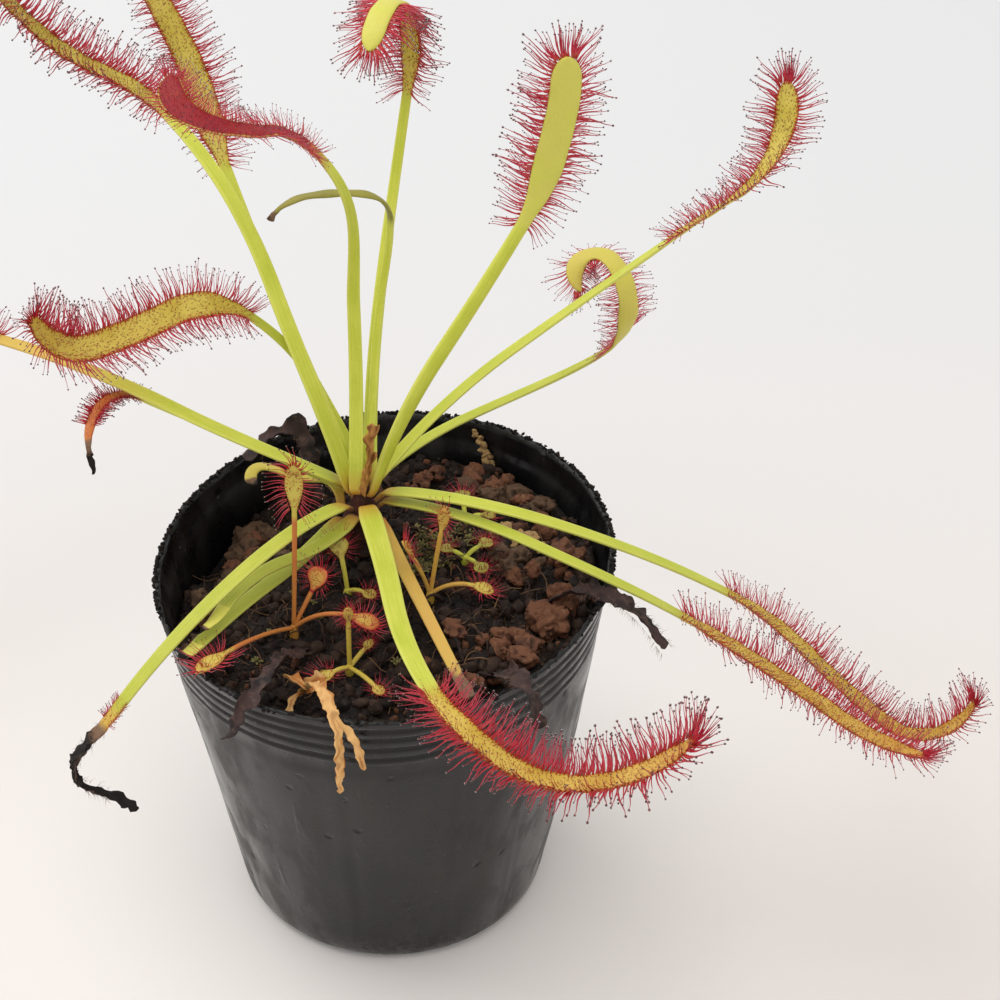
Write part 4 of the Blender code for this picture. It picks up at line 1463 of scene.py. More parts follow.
PLANTLETS = (
    Plantlet("plantlet_front_left", -17, -14, 3, 1, 0.18, 0, "plantlet_red", (
        Sprout(81, 76, 4, 24, 11, 3.5, 0, 0.12),
        Sprout(22, 66, -12, 8.5, 5, 4.8, 40, 1),
        Sprout(234, 32, -20, 19, 9.5, 3.4, 0, 0.35),
        Sprout(350, 52, -44, 13, 7, 4.2, -30, 0.95),
    )),
    Plantlet("plantlet_front", -6, -24, 2, 0.35, 0.30, 0.1, "plantlet_yellow", (
        Sprout(92, 76, -4, 9, 3.4, 2),
        Sprout(52, 26, -8, 4, 3, 2),
        Sprout(218, 34, -30, 3, 5, 3.2),
        Sprout(306, 24, -22, 8, 3.4, 2.4),
    )),
    Plantlet("plantlet_right", 8.5, -5, 2, 0.6, 0.30, 0, "plantlet_orange", (
        Sprout(57, 74, -2, 13, 5.5, 2.6, 0, 0.35),
        Sprout(8, 42, -46, 8, 5, 3.2, -30),
        Sprout(176, 76, -10, 9, 4.8, 2.8, 0, 0.35),
    )),
    Plantlet("plantlet_right_green", 15, 5.8, 1.2, 0.05, 0, 0.6, "plantlet_green", (
        Sprout(35, 48, -40, 3.4, 3.4, 3.2, 0, 0.05),
        Sprout(308, 42, -40, 3.4, 3.4, 3.2, 0, 0.05),
        Sprout(160, 50, -40, 2.6, 3, 2.8, 0, 0.05),
    )),
    Plantlet("plantlet_back_green", 14.8, 19.8, 1.2, 0.05, 0, 0.7, "plantlet_green", (
        Sprout(100, 75, -60, 3.6, 3.6, 3.6, 0, 0),
        Sprout(0, 45, -40, 3.4, 3.2, 2.8, 0, 0.1),
    )),
    Plantlet("plantlet_centre", -7.4, -3.6, 1.5, 0.2, 0.1, 0.25, "plantlet_yellow", (
        Sprout(110, 76, -28, 6.4, 4.6, 3.8, 0, 0.15),
        Sprout(330, 46, -40, 3.4, 3.4, 2.8, 0, 0.2),
    )),
)


@dataclass
class Strap:
    """A dead leaf: a limp crumpled strap. Each run is a length, a heading and a slope."""

    name: str
    x: float
    y: float
    lift: float
    runs: tuple
    width: float
    finish: Finish
    slot: str
    bristles: int = 0
    crumple: float = 0.6
    branches: tuple = ()
    corners: int = 18

    @staticmethod
    def walked(start: Sequence[float], runs: tuple) -> Rib:
        """A midrib that bends smoothly from run to run.

        Args:
            start: its first point.
            runs: a length, a heading and a slope each.

        Returns:
            The midrib.
        """
        lengths, turns, rises = zip(*runs)
        middles = [sum(lengths[:number]) + length / 2.0 for number, length in enumerate(lengths)]
        marks = (0.0, *middles, sum(lengths))
        return Rib(start, marks, (turns[0], *turns, turns[-1]), (rises[0], *rises, rises[-1]))

    def rib(self, level: float) -> Rib:
        """The strap's midrib, from the peat's level."""
        height = STEM_TOP + 0.5 if self.lift == 0.0 else level + self.lift
        return self.walked((self.x, self.y, height), self.runs)

    def skin(self, level: float) -> Skin:
        """The strap and its side branches.

        Args:
            level: the peat's level at its foot.

        Returns:
            The bodies, with the tint their finish reads.
        """
        draw = random.Random(self.name)
        skin = Skin()
        rib = self.rib(level)
        self._strip(skin, rib, self.width, draw)
        for share, runs, width in self.branches:
            start, *_ = rib.at(rib.length * share)
            self._strip(skin, self.walked(start, runs), width, draw)
        return skin

    def _strip(self, skin: Skin, rib: Rib, wide: float, draw: random.Random) -> None:
        """Add one strip with torn edges, curls and creases.

        Args:
            skin: where it goes.
            rib: its midrib.
            wide: its width, in millimetres.
            draw: the seeded draw.
        """
        run = np.arange(0.0, rib.length, 0.45)
        points, _, across, upper = rib.frames(run)
        share = run / rib.length
        phase = draw.random() * 9.0
        angle = around(self.corners)
        edge = fuller(np.cos(angle), 0.8)
        width = wide * (0.50 + 0.5 * np.sin(np.pi * (0.16 + 0.78 * share)))
        width[-1] *= 0.3
        ragged = 0.5 + 0.4 * self.crumple
        torn = np.array([[1.0 + ragged * noise.noise(Vector((stop * 0.6, 3.0 * np.sign(part), phase)))
                          for part in edge] for stop in run])
        half = width[:, None] / 2.0 * edge[None, :] * torn
        spin = np.radians(30.0) * np.sin(0.33 * run + phase)
        curl = 0.22 * half ** 2 * (1.0 + 0.8 * np.sin(run * 0.45 + phase))[:, None]
        lift = 0.30 * np.sin(angle)[None, :] + curl
        turned_wide = half * np.cos(spin)[:, None] - lift * np.sin(spin)[:, None]
        turned_tall = half * np.sin(spin)[:, None] + lift * np.cos(spin)[:, None]
        rings = sections(points, across, upper, turned_wide, turned_tall)
        shift = Vector((phase, 0.0, 0.0))
        for row in range(len(run)):
            for corner in range(self.corners):
                spot = Vector(points[row] + (rings[row, corner] - points[row]) * 0.6) + shift
                push = noise.noise_vector(spot * 0.55) + noise.noise_vector(spot * 1.5) * 0.45
                rings[row, corner] += np.array(push) * self.crumple
        tint = np.array([[0.5 + 0.9 * noise.noise(Vector((stop * 0.5, part * 1.6, phase))) for part in edge]
                         for stop in run])
        skin.loft(rings, tint=tint)

    def fringe(self, level: float) -> list[Spot]:
        """The dried tentacles that still hang on it.

        Args:
            level: the peat's level at its foot.

        Returns:
            Their spots.
        """
        draw = random.Random(self.name + "fringe")
        rib = self.rib(level)
        spots: list[Spot] = []
        for _ in range(self.bristles):
            point, along, across, upper = rib.at(rib.length * draw.uniform(0.3, 1.0))
            sign = draw.choice((-1.0, 1.0))
            root = point + across * sign * self.width * 0.42
            way = across * sign * 0.8 + upper * draw.gauss(0.2, 0.5) + along * draw.gauss(0.3, 0.4)
            size = draw.uniform(0.4, 1.6)
            spots.append(Spot(root, way, np.array((0.0, 0.0, -1.0)), size, TentacleKind.DRIED.value))
        return spots


STRAPS = (
    Strap("dead_leaf_front_left", -14.5, -19.5, 1.2, (
        (10, 250, 35), (13, 252, 20), (6, 240, -24), (5, 224, -60), (1.8, 160, -30),
    ), 3, BLACK, "dry_leaf_black", 50, crumple=0.4),
    Strap("dead_leaf_front", -14.5, -31.5, 1.1, (
        (8, 300, 57), (8, 298, 23), (5, 290, -20), (8, 282, -74), (8, 275, -94),
    ), 2.1, DRY, "dry_leaf_tan", crumple=0.45, branches=(
        (0.52, ((6, 322, -36), (4, 322, -58), (3, 300, -88)), 1.5),
        (0.04, ((4, 236, 4), (3, 262, -40), (2.6, 300, -70)), 1.6),
        (0.08, ((3, 20, 30), (2, 60, 0)), 2.4),
        (0.14, ((3, 170, 40), (2.4, 150, -20)), 2.2),
    )),
    Strap("dead_leaf_back_left", -16, 27, 1, (
        (9, 95, 66), (5, 110, 45), (6, 200, 5), (8, 232, -20),
    ), 3.8, BLACK, "dry_leaf_black", 20),
    Strap("dead_leaf_right", 29.5, -8, 1.1, (
        (8, 345, 42), (7, 340, 16), (8, 328, -20), (8, 320, -40),
    ), 3.3, BLACK, "dry_leaf_black", 260, crumple=0.42),
    Strap("dead_leaf_front_right", 20.5, -28.5, 0.9, (
        (11, 302, 50), (6, 300, 8), (7, 285, -60),
    ), 3.6, BLACK, "dry_leaf_black", 90, crumple=0.5),
    Strap("withered_leaf_centre", -4.6, 8.6, 0, (
        (8, 20, 80), (8, 70, 78),
    ), 2.4, WITHER, "dry_leaf_tan", crumple=0.35, branches=(
        (0.08, ((5, 20, 80), (4, 40, 62)), 1.4), (0.3, ((6, 60, 80), (5, 20, 66)), 1.2),
    )),
)


# The pot and what fills it.

@dataclass
class Pot:
    """The soft film pot, pressed a little out of round. Sizes are in millimetres.

    The grooves are measured down from the rim, and the band is the thin wall above the inner step.
    """

    height: float = 80.0
    rim: float = 45.0
    base: float = 31.7
    bend: float = 4.0
    wall: float = 0.9
    floor: float = 1.2
    squeeze: float = 2.0
    squeeze_turn: float = math.radians(64.0)
    band: float = 5.0
    step: float = 0.5
    grooves: tuple = (2.4, 5.0, 8.0, 11.0, 13.4)
    groove_depth: float = 0.42
    groove_width: float = 0.50
    creases: int = 26
    crumbs: int = 1900
    sides: int = 240
    drains: int = 8
    drain_radius: float = 3.0
    drain_circle: float = 21.0

    def radius(self, height: float) -> float:
        """The outer radius at a height."""
        return self.base + (self.rim - self.base) * max(0.0, (height - self.bend) / (self.height - self.bend))

    def pressed(self, radius: float, turn: float, height: float) -> tuple[float, float, float]:
        """A point of the wall, with the rim pressed oval.

        Args:
            radius: the round pot's radius there.
            turn: the angle round the axis.
            height: the height.

        Returns:
            The point.
        """
        share = max(0.0, height / self.height) ** 2
        reach = radius + self.squeeze * share * math.cos(2.0 * (turn - self.squeeze_turn))
        return reach * math.cos(turn), reach * math.sin(turn), height

    def profile(self) -> list[tuple[float, float, float]]:
        """Radius, height and how far the film may ripple there, from the foot over the rim to the floor."""
        rows = [(self.base - 4.0, 0.0, 0.0), (self.base - 2.0, 0.25, 0.0), (self.base - 1.2, 1.2, 0.1),
                (self.base - 0.4, 2.4, 0.2), (self.base, self.bend, 0.4)]
        heights = [*np.linspace(self.bend + 2.0, 66.5, 24), *np.linspace(67.0, self.height - 0.4, 44)]
        for height in heights:
            dip = sum(
                self.groove_depth * math.exp(-(((self.height - drop) - height) / self.groove_width) ** 2)
                for drop in self.grooves)
            rows.append((self.radius(height) - dip, height, 1.0))
        rows.append((self.rim, self.height, 1.0))
        rows.append((self.rim - self.wall, self.height, 1.0))
        level = self.height - self.band
        for share in (0.25, 0.5, 0.75, 1.0):
            height = self.height - self.band * share
            rows.append((self.radius(height) - self.wall, height, 1.0))
        rows.append((self.radius(level) - self.wall - self.step, level - 0.6, 1.0))
        for height in np.linspace(level - 4.0, self.bend, 16):
            rows.append((self.radius(height) - self.wall - self.step, height, 0.8 if height > 20.0 else 0.2))
        rows.append((self.base - 4.2, self.floor, 0.0))
        return rows

    def skin(self) -> Skin:
        """The film as one closed shell with dents, upright creases and a rough cut rim."""
        draw = random.Random(9)
        creases = [(draw.uniform(0.0, TAU), draw.uniform(0.012, 0.05), draw.uniform(-0.28, 0.16))
                   for _ in range(self.creases)]
        rings = []
        for radius, height, ripple in self.profile():
            row = []
            for side in range(self.sides):
                turn = TAU * side / self.sides
                spot = Vector((math.cos(turn) * 2.0, math.sin(turn) * 2.0, height * 0.022))
                push = 0.55 * noise.noise(spot) + 0.16 * noise.noise(spot * 3.3)
                for middle, width, depth in creases:
                    apart = (turn - middle + math.pi) % TAU - math.pi
                    if abs(apart) < width * 3.0:
                        push += depth * math.exp(-(apart / width) ** 2)
                up = height
                if height > self.height - 0.01:
                    up += 0.42 * noise.noise(Vector((turn * 34.0, 0.0, 4.0))) + 0.25 * draw.gauss(0.0, 1.0)
                    up = min(up, self.height + 0.6)
                row.append(self.pressed(radius + push * ripple, turn, up))
            rings.append(row)
        skin = Skin()
        skin.loft(np.array(rings))
        return skin

    def build(self) -> None:
        """Make the pot and cut its drain holes."""
        pot = self.skin().piece("pot_film_look", FILM)
        cutters = bmesh.new()
        for number in range(self.drains):
            turn = TAU * (number + 0.5) / self.drains
            spot = Vector((self.drain_circle * math.cos(turn), self.drain_circle * math.sin(turn), 1.0)) * MM
            bmesh.ops.create_cone(
                cutters, cap_ends=True, segments=28, radius1=self.drain_radius * MM,
                radius2=self.drain_radius * MM, depth=4.0 * MM, matrix=Matrix.Translation(spot),
            )
        mesh = bpy.data.meshes.new("drains")
        cutters.to_mesh(mesh)
        cutters.free()
        holes = stand("drains", mesh)
        cut = pot.modifiers.new("drains", "BOOLEAN")
        cut.operation, cut.solver, cut.object = "DIFFERENCE", "EXACT", holes
        plain = flatten(pot)
        pot.modifiers.clear()
        pot.data = plain
        bpy.data.objects.remove(holes, do_unlink=True)
        settle(pot, "pot_film", "pot")

    def rim_spots(self) -> list[Spot]:
        """Where crumbs of torn film and peat cling to the cut rim."""
        draw = random.Random(14)
        spots = []
        for _ in range(self.crumbs):
            turn = draw.uniform(0.0, TAU)
            if math.sin(turn) < -0.35 and draw.random() < 0.85:
                continue
            radius = self.rim - abs(draw.gauss(0.15, 0.35))
            height = self.height + draw.uniform(-0.5, 0.35)
            root, way = np.array(self.pressed(radius, turn, height)), np.array(any_way(draw))
            size = draw.uniform(0.35, 1.05)
            spots.append(Spot(root, way, np.array((1.0, 0.2, 0.1)), size, draw.randrange(LumpShapes.count)))
        return spots


CLUMPS = (
    (23.1, -18.1, 6), (29.8, -14.1, 9), (25.1, -22.2, 6), (33.5, -5.7, 7), (35, 6.8, 6), (24.7, 1.6, 6),
    (14, -14.3, 6), (18, -17.3, 4), (16.9, -31.1, 6), (21.1, -26.7, 3.5), (27.5, -20.6, 4), (31, -9.2, 5),
    (36.3, 1.1, 4), (7.1, -23.6, 4), (-29.7, 17, 7), (-26.4, 12.4, 6), (-25.5, 18.6, 6), (-29.8, 9.2, 5),
    (-34.1, -4, 5.5), (-35.2, -8.6, 4), (-31.9, 1.7, 4), (-36.6, -13, 4), (-35.3, -17.6, 4), (-23.1, 8.4, 4),
    (21.7, 30.4, 6), (25.7, 24.1, 5), (15.6, 33.6, 5), (30.6, 17.8, 5), (7.5, 33.5, 5),
)
CRUST_LUMPS = (
    (20.6, 14.2, 2.6, 1.4), (22.8, 14.8, 3, 1.9), (25.4, 13.6, 3.2, 1.7), (27.8, 12.4, 3.4, 1.5),
    (29.8, 10.2, 3, 1), (24.2, 12, 3, 1),
)
EARTH_LUMPS = (
    (21.5, 8.5, 4.6, 0.4), (25.5, 8, 5, 0.8), (28.8, 5.6, 4.4, 0.3), (23.6, 3.4, 5, 0.4),
    (27, 0.6, 4.2, 0.1), (20.2, 27.6, 6, 0.8), (25.6, 27, 6.4, 1), (29.6, 22.4, 5.4, 0.6),
    (15.4, 30.2, 5.2, 0.4), (-26, 22, 5.4, 0.8), (-29.4, 14.6, 6, 0.6), (-31, 6.4, 5, 0.2),
)
MOSS_PATCHES = ((7.0, 2.6, 9.0, 3.4, 70), (13.5, 2.0, 11.0, 3.0, 24), (-20.0, 5.0, 8.0, 7.0, 14))


class Layer(NamedTuple):
    """Loose grains of one kind: spacing in metres, grains for each square metre, sizes in mm."""

    name: str
    shapes: bpy.types.Collection
    spacing: float
    density: float
    smallest: float
    largest: float
    seed: int
    finish: Finish


@dataclass
class Peat:
    """The growing medium: dark peat with clay granules, fibres and crumbs. Sizes are in millimetres."""

    pot: Pot
    level: float = 72.0
    top_from: float = 66.0
    reach: float = 40.0
    stray_moss: int = 26
    rings: int = 66
    sides: int = 220
    roots: int = 150
    strands: int = 150

    def height(self, x: float, y: float) -> float:
        """The plain level of the peat.

        Args:
            x: the place to the right of the pot's middle.
            y: the place behind it.

        Returns:
            The level there: a mound under the stem, a slope, waves and the dip at the back left wall.
        """
        dx, dy = x - STEM[0], y - STEM[1]
        level = 2.5 * math.exp(-(dx * dx + dy * dy) / 500.0)
        level += 0.055 * x - 0.035 * y
        level += 0.9 * math.sin(0.31 * dx + 0.9) * math.cos(0.27 * dy + 0.4)
        level += 0.7 * math.sin(0.62 * dx - 0.2) * math.sin(0.55 * dy + 1.3)
        level -= 5.5 * math.exp(-((x + 38.0) ** 2 + (y - 20.0) ** 2) / 290.0)
        return self.level + level

    def stony(self, x: float, y: float) -> float:
        """How thickly granules lie.

        Args:
            x: the place to the right of the pot's middle.
            y: the place behind it.

        Returns:
            From 0 to 1, most at the right, the back right and the left.
        """
        patch = 0.5 + 0.9 * noise.noise(Vector((x * 0.06, y * 0.06, 2.0)))
        right = 1.0 / (1.0 + math.exp(-(x - 10.0) / 6.0))
        left = 0.7 * math.exp(-((x + 26.0) ** 2 + (y - 10.0) ** 2) / 70.0)
        return min(1.0, max(0.0, patch * 0.8 + (right + left) * 0.7 - 0.45))

    def skin(self) -> Skin:
        """The closed body of the filling, rough on top."""
        side = self.pot.wall + self.pot.step + 0.6
        turns = around(self.sides)
        rows = [
            [self.pot.pressed(self.pot.base - 6.4, turn, self.pot.floor + 0.3) for turn in turns],
            [self.pot.pressed(self.pot.base - side, turn, self.pot.bend + 1.0) for turn in turns],
        ]
        for ring in range(self.rings, 0, -1):
            share = ring / self.rings
            row = []
            for turn in turns:
                edge = self.pot.pressed(self.pot.radius(self.level), turn, self.level)
                low = min(self.level, self.height(edge[0], edge[1])) - 1.0
                edge = self.pot.pressed(self.pot.radius(low) - side - 0.05, turn, low)
                x = STEM[0] * (1.0 - share) + edge[0] * share
                y = STEM[1] * (1.0 - share) + edge[1] * share
                z = self.height(x, y) - 0.9 * max(0.0, share - 0.85) / 0.15
                spot = Vector((x, y, 0.0))
                rough = 1.3 * noise.noise(spot * 0.22) + 0.9 * noise.noise(spot * 0.47)
                rough += 0.6 * abs(noise.noise(spot * 0.95)) + 0.35 * noise.noise(spot * 2.1)
                row.append((x, y, z + rough - 0.3))
            rows.append(row)
        rings = np.array(rows)
        skin = Skin()
        tint = np.full(rings.shape[:2], 0.25)
        stony = np.array([[self.stony(x, y) if number > 1 else 0.0 for x, y, _ in row]
                          for number, row in enumerate(rows)])
        skin.loft(rings, tint=tint, stony=stony)
        return skin

    def build(self, strewing: Strewing, lumps: LumpShapes) -> None:
        """Make the filling and strew the granules and crumbs.

        Args:
            strewing: the tree that strews shapes.
            lumps: the granules' forms.
        """
        peat = self.skin().piece("peat_look", PEAT)
        large, fine, coarse = lumps.box("stone", 3), lumps.box("granule", 2), lumps.box("crumb", 1)
        for layer in (
            Layer("clay_granules", large, 0.0040, 14000.0, 2.4, 5.4, 3, CLAY),
            Layer("clay_grit", fine, 0.0013, 120000.0, 0.8, 2.2, 11, CLAY),
            Layer("peat_lumps", fine, 0.0018, 160000.0, 1.2, 4.2, 23, LUMP),
            Layer("peat_crumbs", coarse, 0.0006, 1000000.0, 0.35, 1.1, 37, LUMP),
        ):
            surface = self.top(peat.data, layer.name, layer.finish is LUMP)
            look = layer.finish.material()
            piece = strewing.run(
                layer.name, surface, Shapes=layer.shapes, Spacing=layer.spacing, Density=layer.density,
                Smallest=layer.smallest, Largest=layer.largest, Seed=layer.seed,
                Finish=look, Second_finish=look,
            )
            settle(piece, "peat")
        settle(peat, "peat", "growing_medium")
        self.crusts()
        self.mosses()
        self.fibres("root_fibres", self.roots, 0.17, 0.8, ROOT)
        self.fibres("dark_strands", self.strands, 0.42, 1.7, STRAND)

    def top(self, mesh: bpy.types.Mesh, name: str, everywhere: bool) -> bpy.types.Mesh:
        """The upper surface alone, for strewing on.

        Args:
            mesh: the filling's mesh.
            name: what is strewn.
            everywhere: whether it lies all over and not only where it is stony.

        Returns:
            A copy of the mesh with only its top.
        """
        solid = bmesh.new()
        solid.from_mesh(mesh)
        low = [face for face in solid.faces if face.calc_center_median().z < self.top_from * MM]
        bmesh.ops.delete(solid, geom=low, context="FACES")
        made = bpy.data.meshes.new(name + "_surface")
        solid.to_mesh(made)
        solid.free()
        if everywhere:
            made.attributes["stony"].data.foreach_set("value", [0.85] * len(made.vertices))
        return made

    def crusts(self) -> None:
        """The tan crust at the right, the brown mass beside it, and the strip on the wall behind."""
        draw = random.Random(41)
        crust, brown, clay = Skin(), Skin(), Skin()
        for x, y, wide in CLUMPS:
            for _ in range(1 if wide < 5.0 else 3):
                place = (x + draw.gauss(0.0, 0.22) * wide, y + draw.gauss(0.0, 0.22) * wide)
                skin = brown if x < -20.0 and draw.random() < 0.7 else clay
                size = wide * draw.uniform(0.55, 0.85)
                self.lump(skin, (*place, self.height(*place) + 0.22 * wide), size, draw)
        for skin, lumps in ((crust, CRUST_LUMPS), (brown, EARTH_LUMPS)):
            for x, y, wide, rise in lumps:
                self.lump(skin, (x, y, self.height(x, y) + rise), wide, draw)
        for step in range(16):
            share = step / 15.0
            turn = math.atan2(39.0, 15.4) - 0.10 * share
            height = 79.0 - 6.5 * share
            x, y, z = self.pot.pressed(self.pot.radius(height) - 2.0 - 0.5 * share, turn, height)
            self.lump(crust, (x + draw.gauss(0.0, 0.3), y, z), 1.0 + 0.8 * share + 0.4 * draw.random(), draw)
        for skin, name, finish in (
            (crust, "tan_crust", CRUST), (brown, "brown_mass", EARTH), (clay, "clay_clumps", CLAY),
        ):
            settle(skin.piece(name, finish), "peat")

    @staticmethod
    def lump(skin: Skin, middle: Sequence[float], wide: float, draw: random.Random) -> None:
        """Add one crumbly lump.

        Args:
            skin: where it goes.
            middle: its middle.
            wide: its width, in millimetres.
            draw: the seeded draw.
        """
        ball = bmesh.new()
        bmesh.ops.create_icosphere(ball, subdivisions=4 if wide > 2.2 else 3, radius=1.0)
        shift = Vector((draw.uniform(0.0, 90.0), 0.0, 0.0))
        planes = [(Vector(any_way(draw)).normalized(), draw.uniform(0.62, 0.9)) for _ in range(7)]
        points, tints = [], []
        for corner in ball.verts:
            spot = corner.co * wide * 0.5
            rough = 0.60 * noise.noise(spot * 0.6 + shift) + 0.30 * noise.noise(spot * 1.5 + shift)
            rough += 0.16 * noise.noise(spot * 4.2 + shift)
            point = spot * (1.05 + rough)
            for way, reach in planes:
                point -= way * 0.85 * max(0.0, point.dot(way) - reach * wide * 0.5)
            points.append((point.x + middle[0], point.y + middle[1], point.z * 0.75 + middle[2]))
            # the tint is random from the roughness, plus painted light that makes each lump lighter on top
            # and darker underneath
            tints.append(min(1.0, max(0.0, 0.5 + 1.1 * rough + 0.25 * corner.co.z)))
        faces = [tuple(corner.index for corner in face.verts) for face in ball.faces]
        ball.free()
        skin.add(np.array(points), faces, tint=np.array(tints))

    def mosses(self) -> None:
        """Tufts of moss and tiny seedlings, most of them behind the orange plantlet."""
        draw = random.Random(52)
        skin = Skin()
        spots = [(draw.gauss(x, wide), draw.gauss(y, deep)) for x, wide, y, deep, count in MOSS_PATCHES
                 for _ in range(count)]
        spots += [(draw.uniform(-24.0, 24.0), draw.uniform(-26.0, 26.0)) for _ in range(self.stray_moss)]
        for x, y in spots:
            self.tuft(skin, (x, y, self.height(x, y) + 0.5), draw.uniform(0.8, 1.9), draw)
        settle(skin.piece("moss_tufts", MOSS), "peat")

    @staticmethod
    def tuft(skin: Skin, foot: Sequence[float], size: float, draw: random.Random) -> None:
        """Add one tuft of small pointed leaves.

        Args:
            skin: where it goes.
            foot: where it stands.
            size: how long its leaves are, in millimetres.
            draw: the seeded draw.
        """
        shade, sag = draw.random(), np.array((0.0, 0.0, -0.25))
        for number in range(draw.randrange(5, 9)):
            turn = TAU * (number * 0.38 + draw.random() * 0.1)
            rise = draw.uniform(0.25, 1.3)
            way = np.array((math.cos(turn) * math.cos(rise), math.sin(turn) * math.cos(rise), math.sin(rise)))
            side = unit(np.cross(way, (0.0, 0.0, 1.0)))
            up = np.cross(side, way)
            rings = []
            for share, wide in ((0.0, 0.10), (0.35, 0.20), (0.75, 0.17), (1.0, 0.04)):
                middle = np.array(foot) + way * size * share + sag * size * share * share
                rings.append([middle + (side * a + up * b * 0.5) * wide * size
                              for a, b in ((1, 0), (0, 1), (-1, 0), (0, -1))])
            tint = np.repeat(np.array((0.1, 0.5, 0.8, 1.0))[:, None] * (0.4 + 0.6 * shade), 4, axis=1)
            skin.loft(np.array(rings), tint=tint)

    def fibres(self, name: str, count: int, thick: float, arch: float, finish: Finish) -> None:
        """Lay thin roots or strands on the peat.

        Args:
            name: the piece's name.
            count: how many.
            thick: the thickest radius, in millimetres.
            arch: how high they rise off the peat.
            finish: their finish.
        """
        draw = random.Random(name)
        skin = Skin()
        angle = around(4)
        for _ in range(count):
            turn, share = draw.uniform(0.0, TAU), math.sqrt(draw.random()) * 0.9
            x, y = self.reach * share * math.cos(turn), self.reach * share * math.sin(turn)
            length, way = draw.uniform(4.0, 13.0), draw.uniform(0.0, TAU)
            bend, radius = draw.gauss(0.0, 0.13), draw.uniform(0.3, 1.0) * thick
            path = []
            for step in range(12):
                path.append((x, y, self.height(x, y) + 0.5 + arch * math.sin(step * 0.5 + turn)))
                x += math.cos(way) * length / 11
                y += math.sin(way) * length / 11
                way += bend + draw.gauss(0.0, 0.16)
                if math.hypot(x, y) > self.reach:
                    break
            if len(path) < 4:
                continue
            spine = np.array(path)
            along = unit(np.gradient(spine, axis=0))
            side = unit(np.cross(along, (0.0, 0.0, 1.0)))
            up = np.cross(side, along)
            thin = radius * np.linspace(1.0, 0.5, len(spine))[:, None, None]
            wave, rise = np.cos(angle)[None, :, None], np.sin(angle)[None, :, None]
            rings = spine[:, None, :] + thin * (side[:, None, :] * wave + up[:, None, :] * rise)
            skin.loft(rings, tint=np.full(rings.shape[:2], draw.random()))
        settle(skin.piece(name, finish), "peat")


@dataclass
class Stem:
    """The short dark stem with the stubs of old leaves."""

    radius: float = 4.0
    foot: float = 64.0
    shoulder: float = 0.68
    rows: int = 40
    sides: int = 36

    def build(self) -> None:
        """Make the stem, which narrows above its shoulder."""
        rings = []
        tints = []
        for row in range(self.rows + 1):
            share = row / self.rows
            height = self.foot + (STEM_TOP + 0.4 - self.foot) * share
            line, tint = [], []
            for side in range(self.sides):
                turn = TAU * side / self.sides
                scar = math.sin(turn * 3.0 + share * 16.0)
                spot = Vector((math.cos(turn) * 1.6, math.sin(turn) * 1.6, height * 0.42))
                rough = 0.16 * noise.noise(spot) + 0.10 * noise.noise(spot * 3.0)
                radius = self.radius * (0.90 + 0.07 * scar + rough)
                if share > self.shoulder:
                    radius *= 1.0 - 0.68 * (share - self.shoulder) / (1.0 - self.shoulder)
                line.append((STEM[0] + radius * math.cos(turn), STEM[1] + radius * math.sin(turn), height))
                tint.append(0.2 + 0.5 * max(0.0, scar) + 0.3 * share)
            rings.append(line)
            tints.append(tint)
        skin = Skin()
        skin.loft(np.array(rings), tint=np.array(tints))
        settle(skin.piece("stem_look", BARK), "stem_bark", "stem")


# The studio.

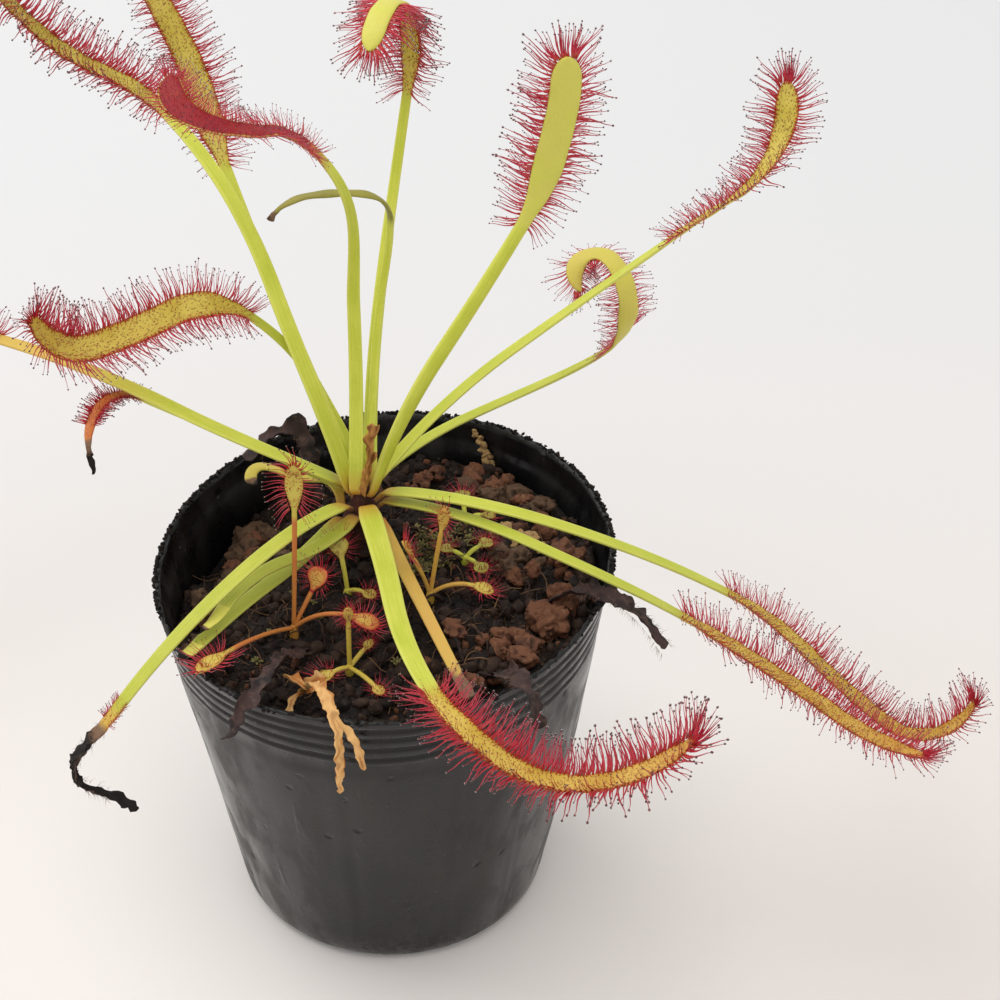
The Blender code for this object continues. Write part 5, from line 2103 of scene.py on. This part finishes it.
@dataclass
class Studio:
    """The camera, the lights and the pale floor.

    The focal length is in pixels of a picture that is frame_width wide, and the target is in millimetres.
    """

    focal: float = 2600.0
    frame_width: float = 1000.0
    sensor: float = 36.0
    lift: float = 38.8
    roll: float = 0.5
    distance: float = 489.0
    target: tuple = (21.7, 0.0, 94.3)
    floor: float = 4.0
    sky: Colour = (1.0, 0.99, 0.985)
    sky_strength: float = 0.80

    def camera(self) -> None:
        """Stand the camera at the photograph's view."""
        lift, roll = math.radians(self.lift), math.radians(self.roll)
        back = Vector((0.0, -math.cos(lift), math.sin(lift)))
        right, up = Vector((1.0, 0.0, 0.0)), Vector((0.0, math.sin(lift), math.cos(lift)))
        right, up = math.cos(roll) * right + math.sin(roll) * up, math.cos(roll) * up - math.sin(roll) * right
        data = bpy.data.cameras.new("view")
        data.sensor_width = self.sensor
        data.lens = self.sensor * self.focal / self.frame_width
        data.clip_start, data.clip_end = 0.02, 20.0
        eye = stand("view", data)
        turned = Matrix((right, up, back)).transposed().to_4x4()
        eye.matrix_world = Matrix.Translation((Vector(self.target) + back * self.distance) * MM) @ turned
        bpy.context.scene.camera = eye

    @staticmethod
    def light(name: str, place: tuple, size: float, power: float, colour: Colour) -> None:
        """Hang one soft light that faces the plant.

        Args:
            name: its name.
            place: where it hangs, in metres.
            size: its side, in metres.
            power: its power in watts.
            colour: its colour.
        """
        data = bpy.data.lights.new(name, "AREA")
        data.size, data.energy, data.color = size, power, colour
        lamp = stand(name, data)
        lamp.location = place
        lamp.rotation_euler = (Vector((0.0, 0.0, 0.07)) - Vector(place)).to_track_quat("-Z", "Y").to_euler()

    def build(self) -> None:
        """Set up the camera, the lights and the floor."""
        self.camera()
        world = bpy.data.worlds.new("studio")
        world.use_nodes = True
        background = world.node_tree.nodes["Background"]
        background.inputs["Color"].default_value = (*self.sky, 1.0)
        background.inputs["Strength"].default_value = self.sky_strength
        bpy.context.scene.world = world
        self.light("window", (-0.8, 0.5, 1.15), 1.3, 8.0, (1.0, 0.995, 0.985))
        self.light("overhead", (0.0, -0.2, 1.5), 1.3, 5.0, (1.0, 0.99, 0.98))
        floor, half = bpy.data.meshes.new("floor"), self.floor
        corners = [(-half, -half, 0.0), (half, -half, 0.0), (half, half, 0.0), (-half, half, 0.0)]
        floor.from_pydata(corners, [], [(0, 1, 2, 3)])
        floor.materials.append(FloorFinish("studio_floor").material())
        stand("floor", floor)
        bpy.context.scene.view_settings.view_transform = "Standard"


def main() -> None:
    """Build every piece, and log how many triangles each has."""
    logging.basicConfig(level=logging.INFO, format="%(message)s")
    noise.seed_set(CRUMPLE_SEED)  # the crumples of dead leaves would otherwise change with the clock
    Studio().build()
    placing, strewing = Placing("placing"), Strewing("strewing")
    forms, lumps = TentacleShapes().box(), LumpShapes()
    pot = Pot()
    pot.build()
    grit = placing.run(
        "rim_grit", spots_mesh("rim_grit", pot.rim_spots()), Shapes=lumps.box("grit", 1),
        Finish=PEAT.material(), Second_finish=PEAT.material(),
    )
    settle(grit, "pot_film")
    peat = Peat(pot)
    peat.build(strewing, lumps)
    Stem().build()
    foliage = Foliage(placing, forms)
    foliage.build()
    for plantlet in PLANTLETS:
        level = peat.height(plantlet.x, plantlet.y)
        settle(plantlet.skin(level).piece(plantlet.name + "_look", LEAF), plantlet.slot, plantlet.name)
        foliage.fringe(plantlet.name + "_tentacles", plantlet.fringe(level), plantlet.slot)
    for strap in STRAPS:
        level = peat.height(strap.x, strap.y)
        settle(strap.skin(level).piece(strap.name + "_look", strap.finish), strap.slot, strap.name)
        foliage.fringe(strap.name + "_bristles", strap.fringe(level), strap.slot, HAIR)


if __name__ == "__main__":
    main()
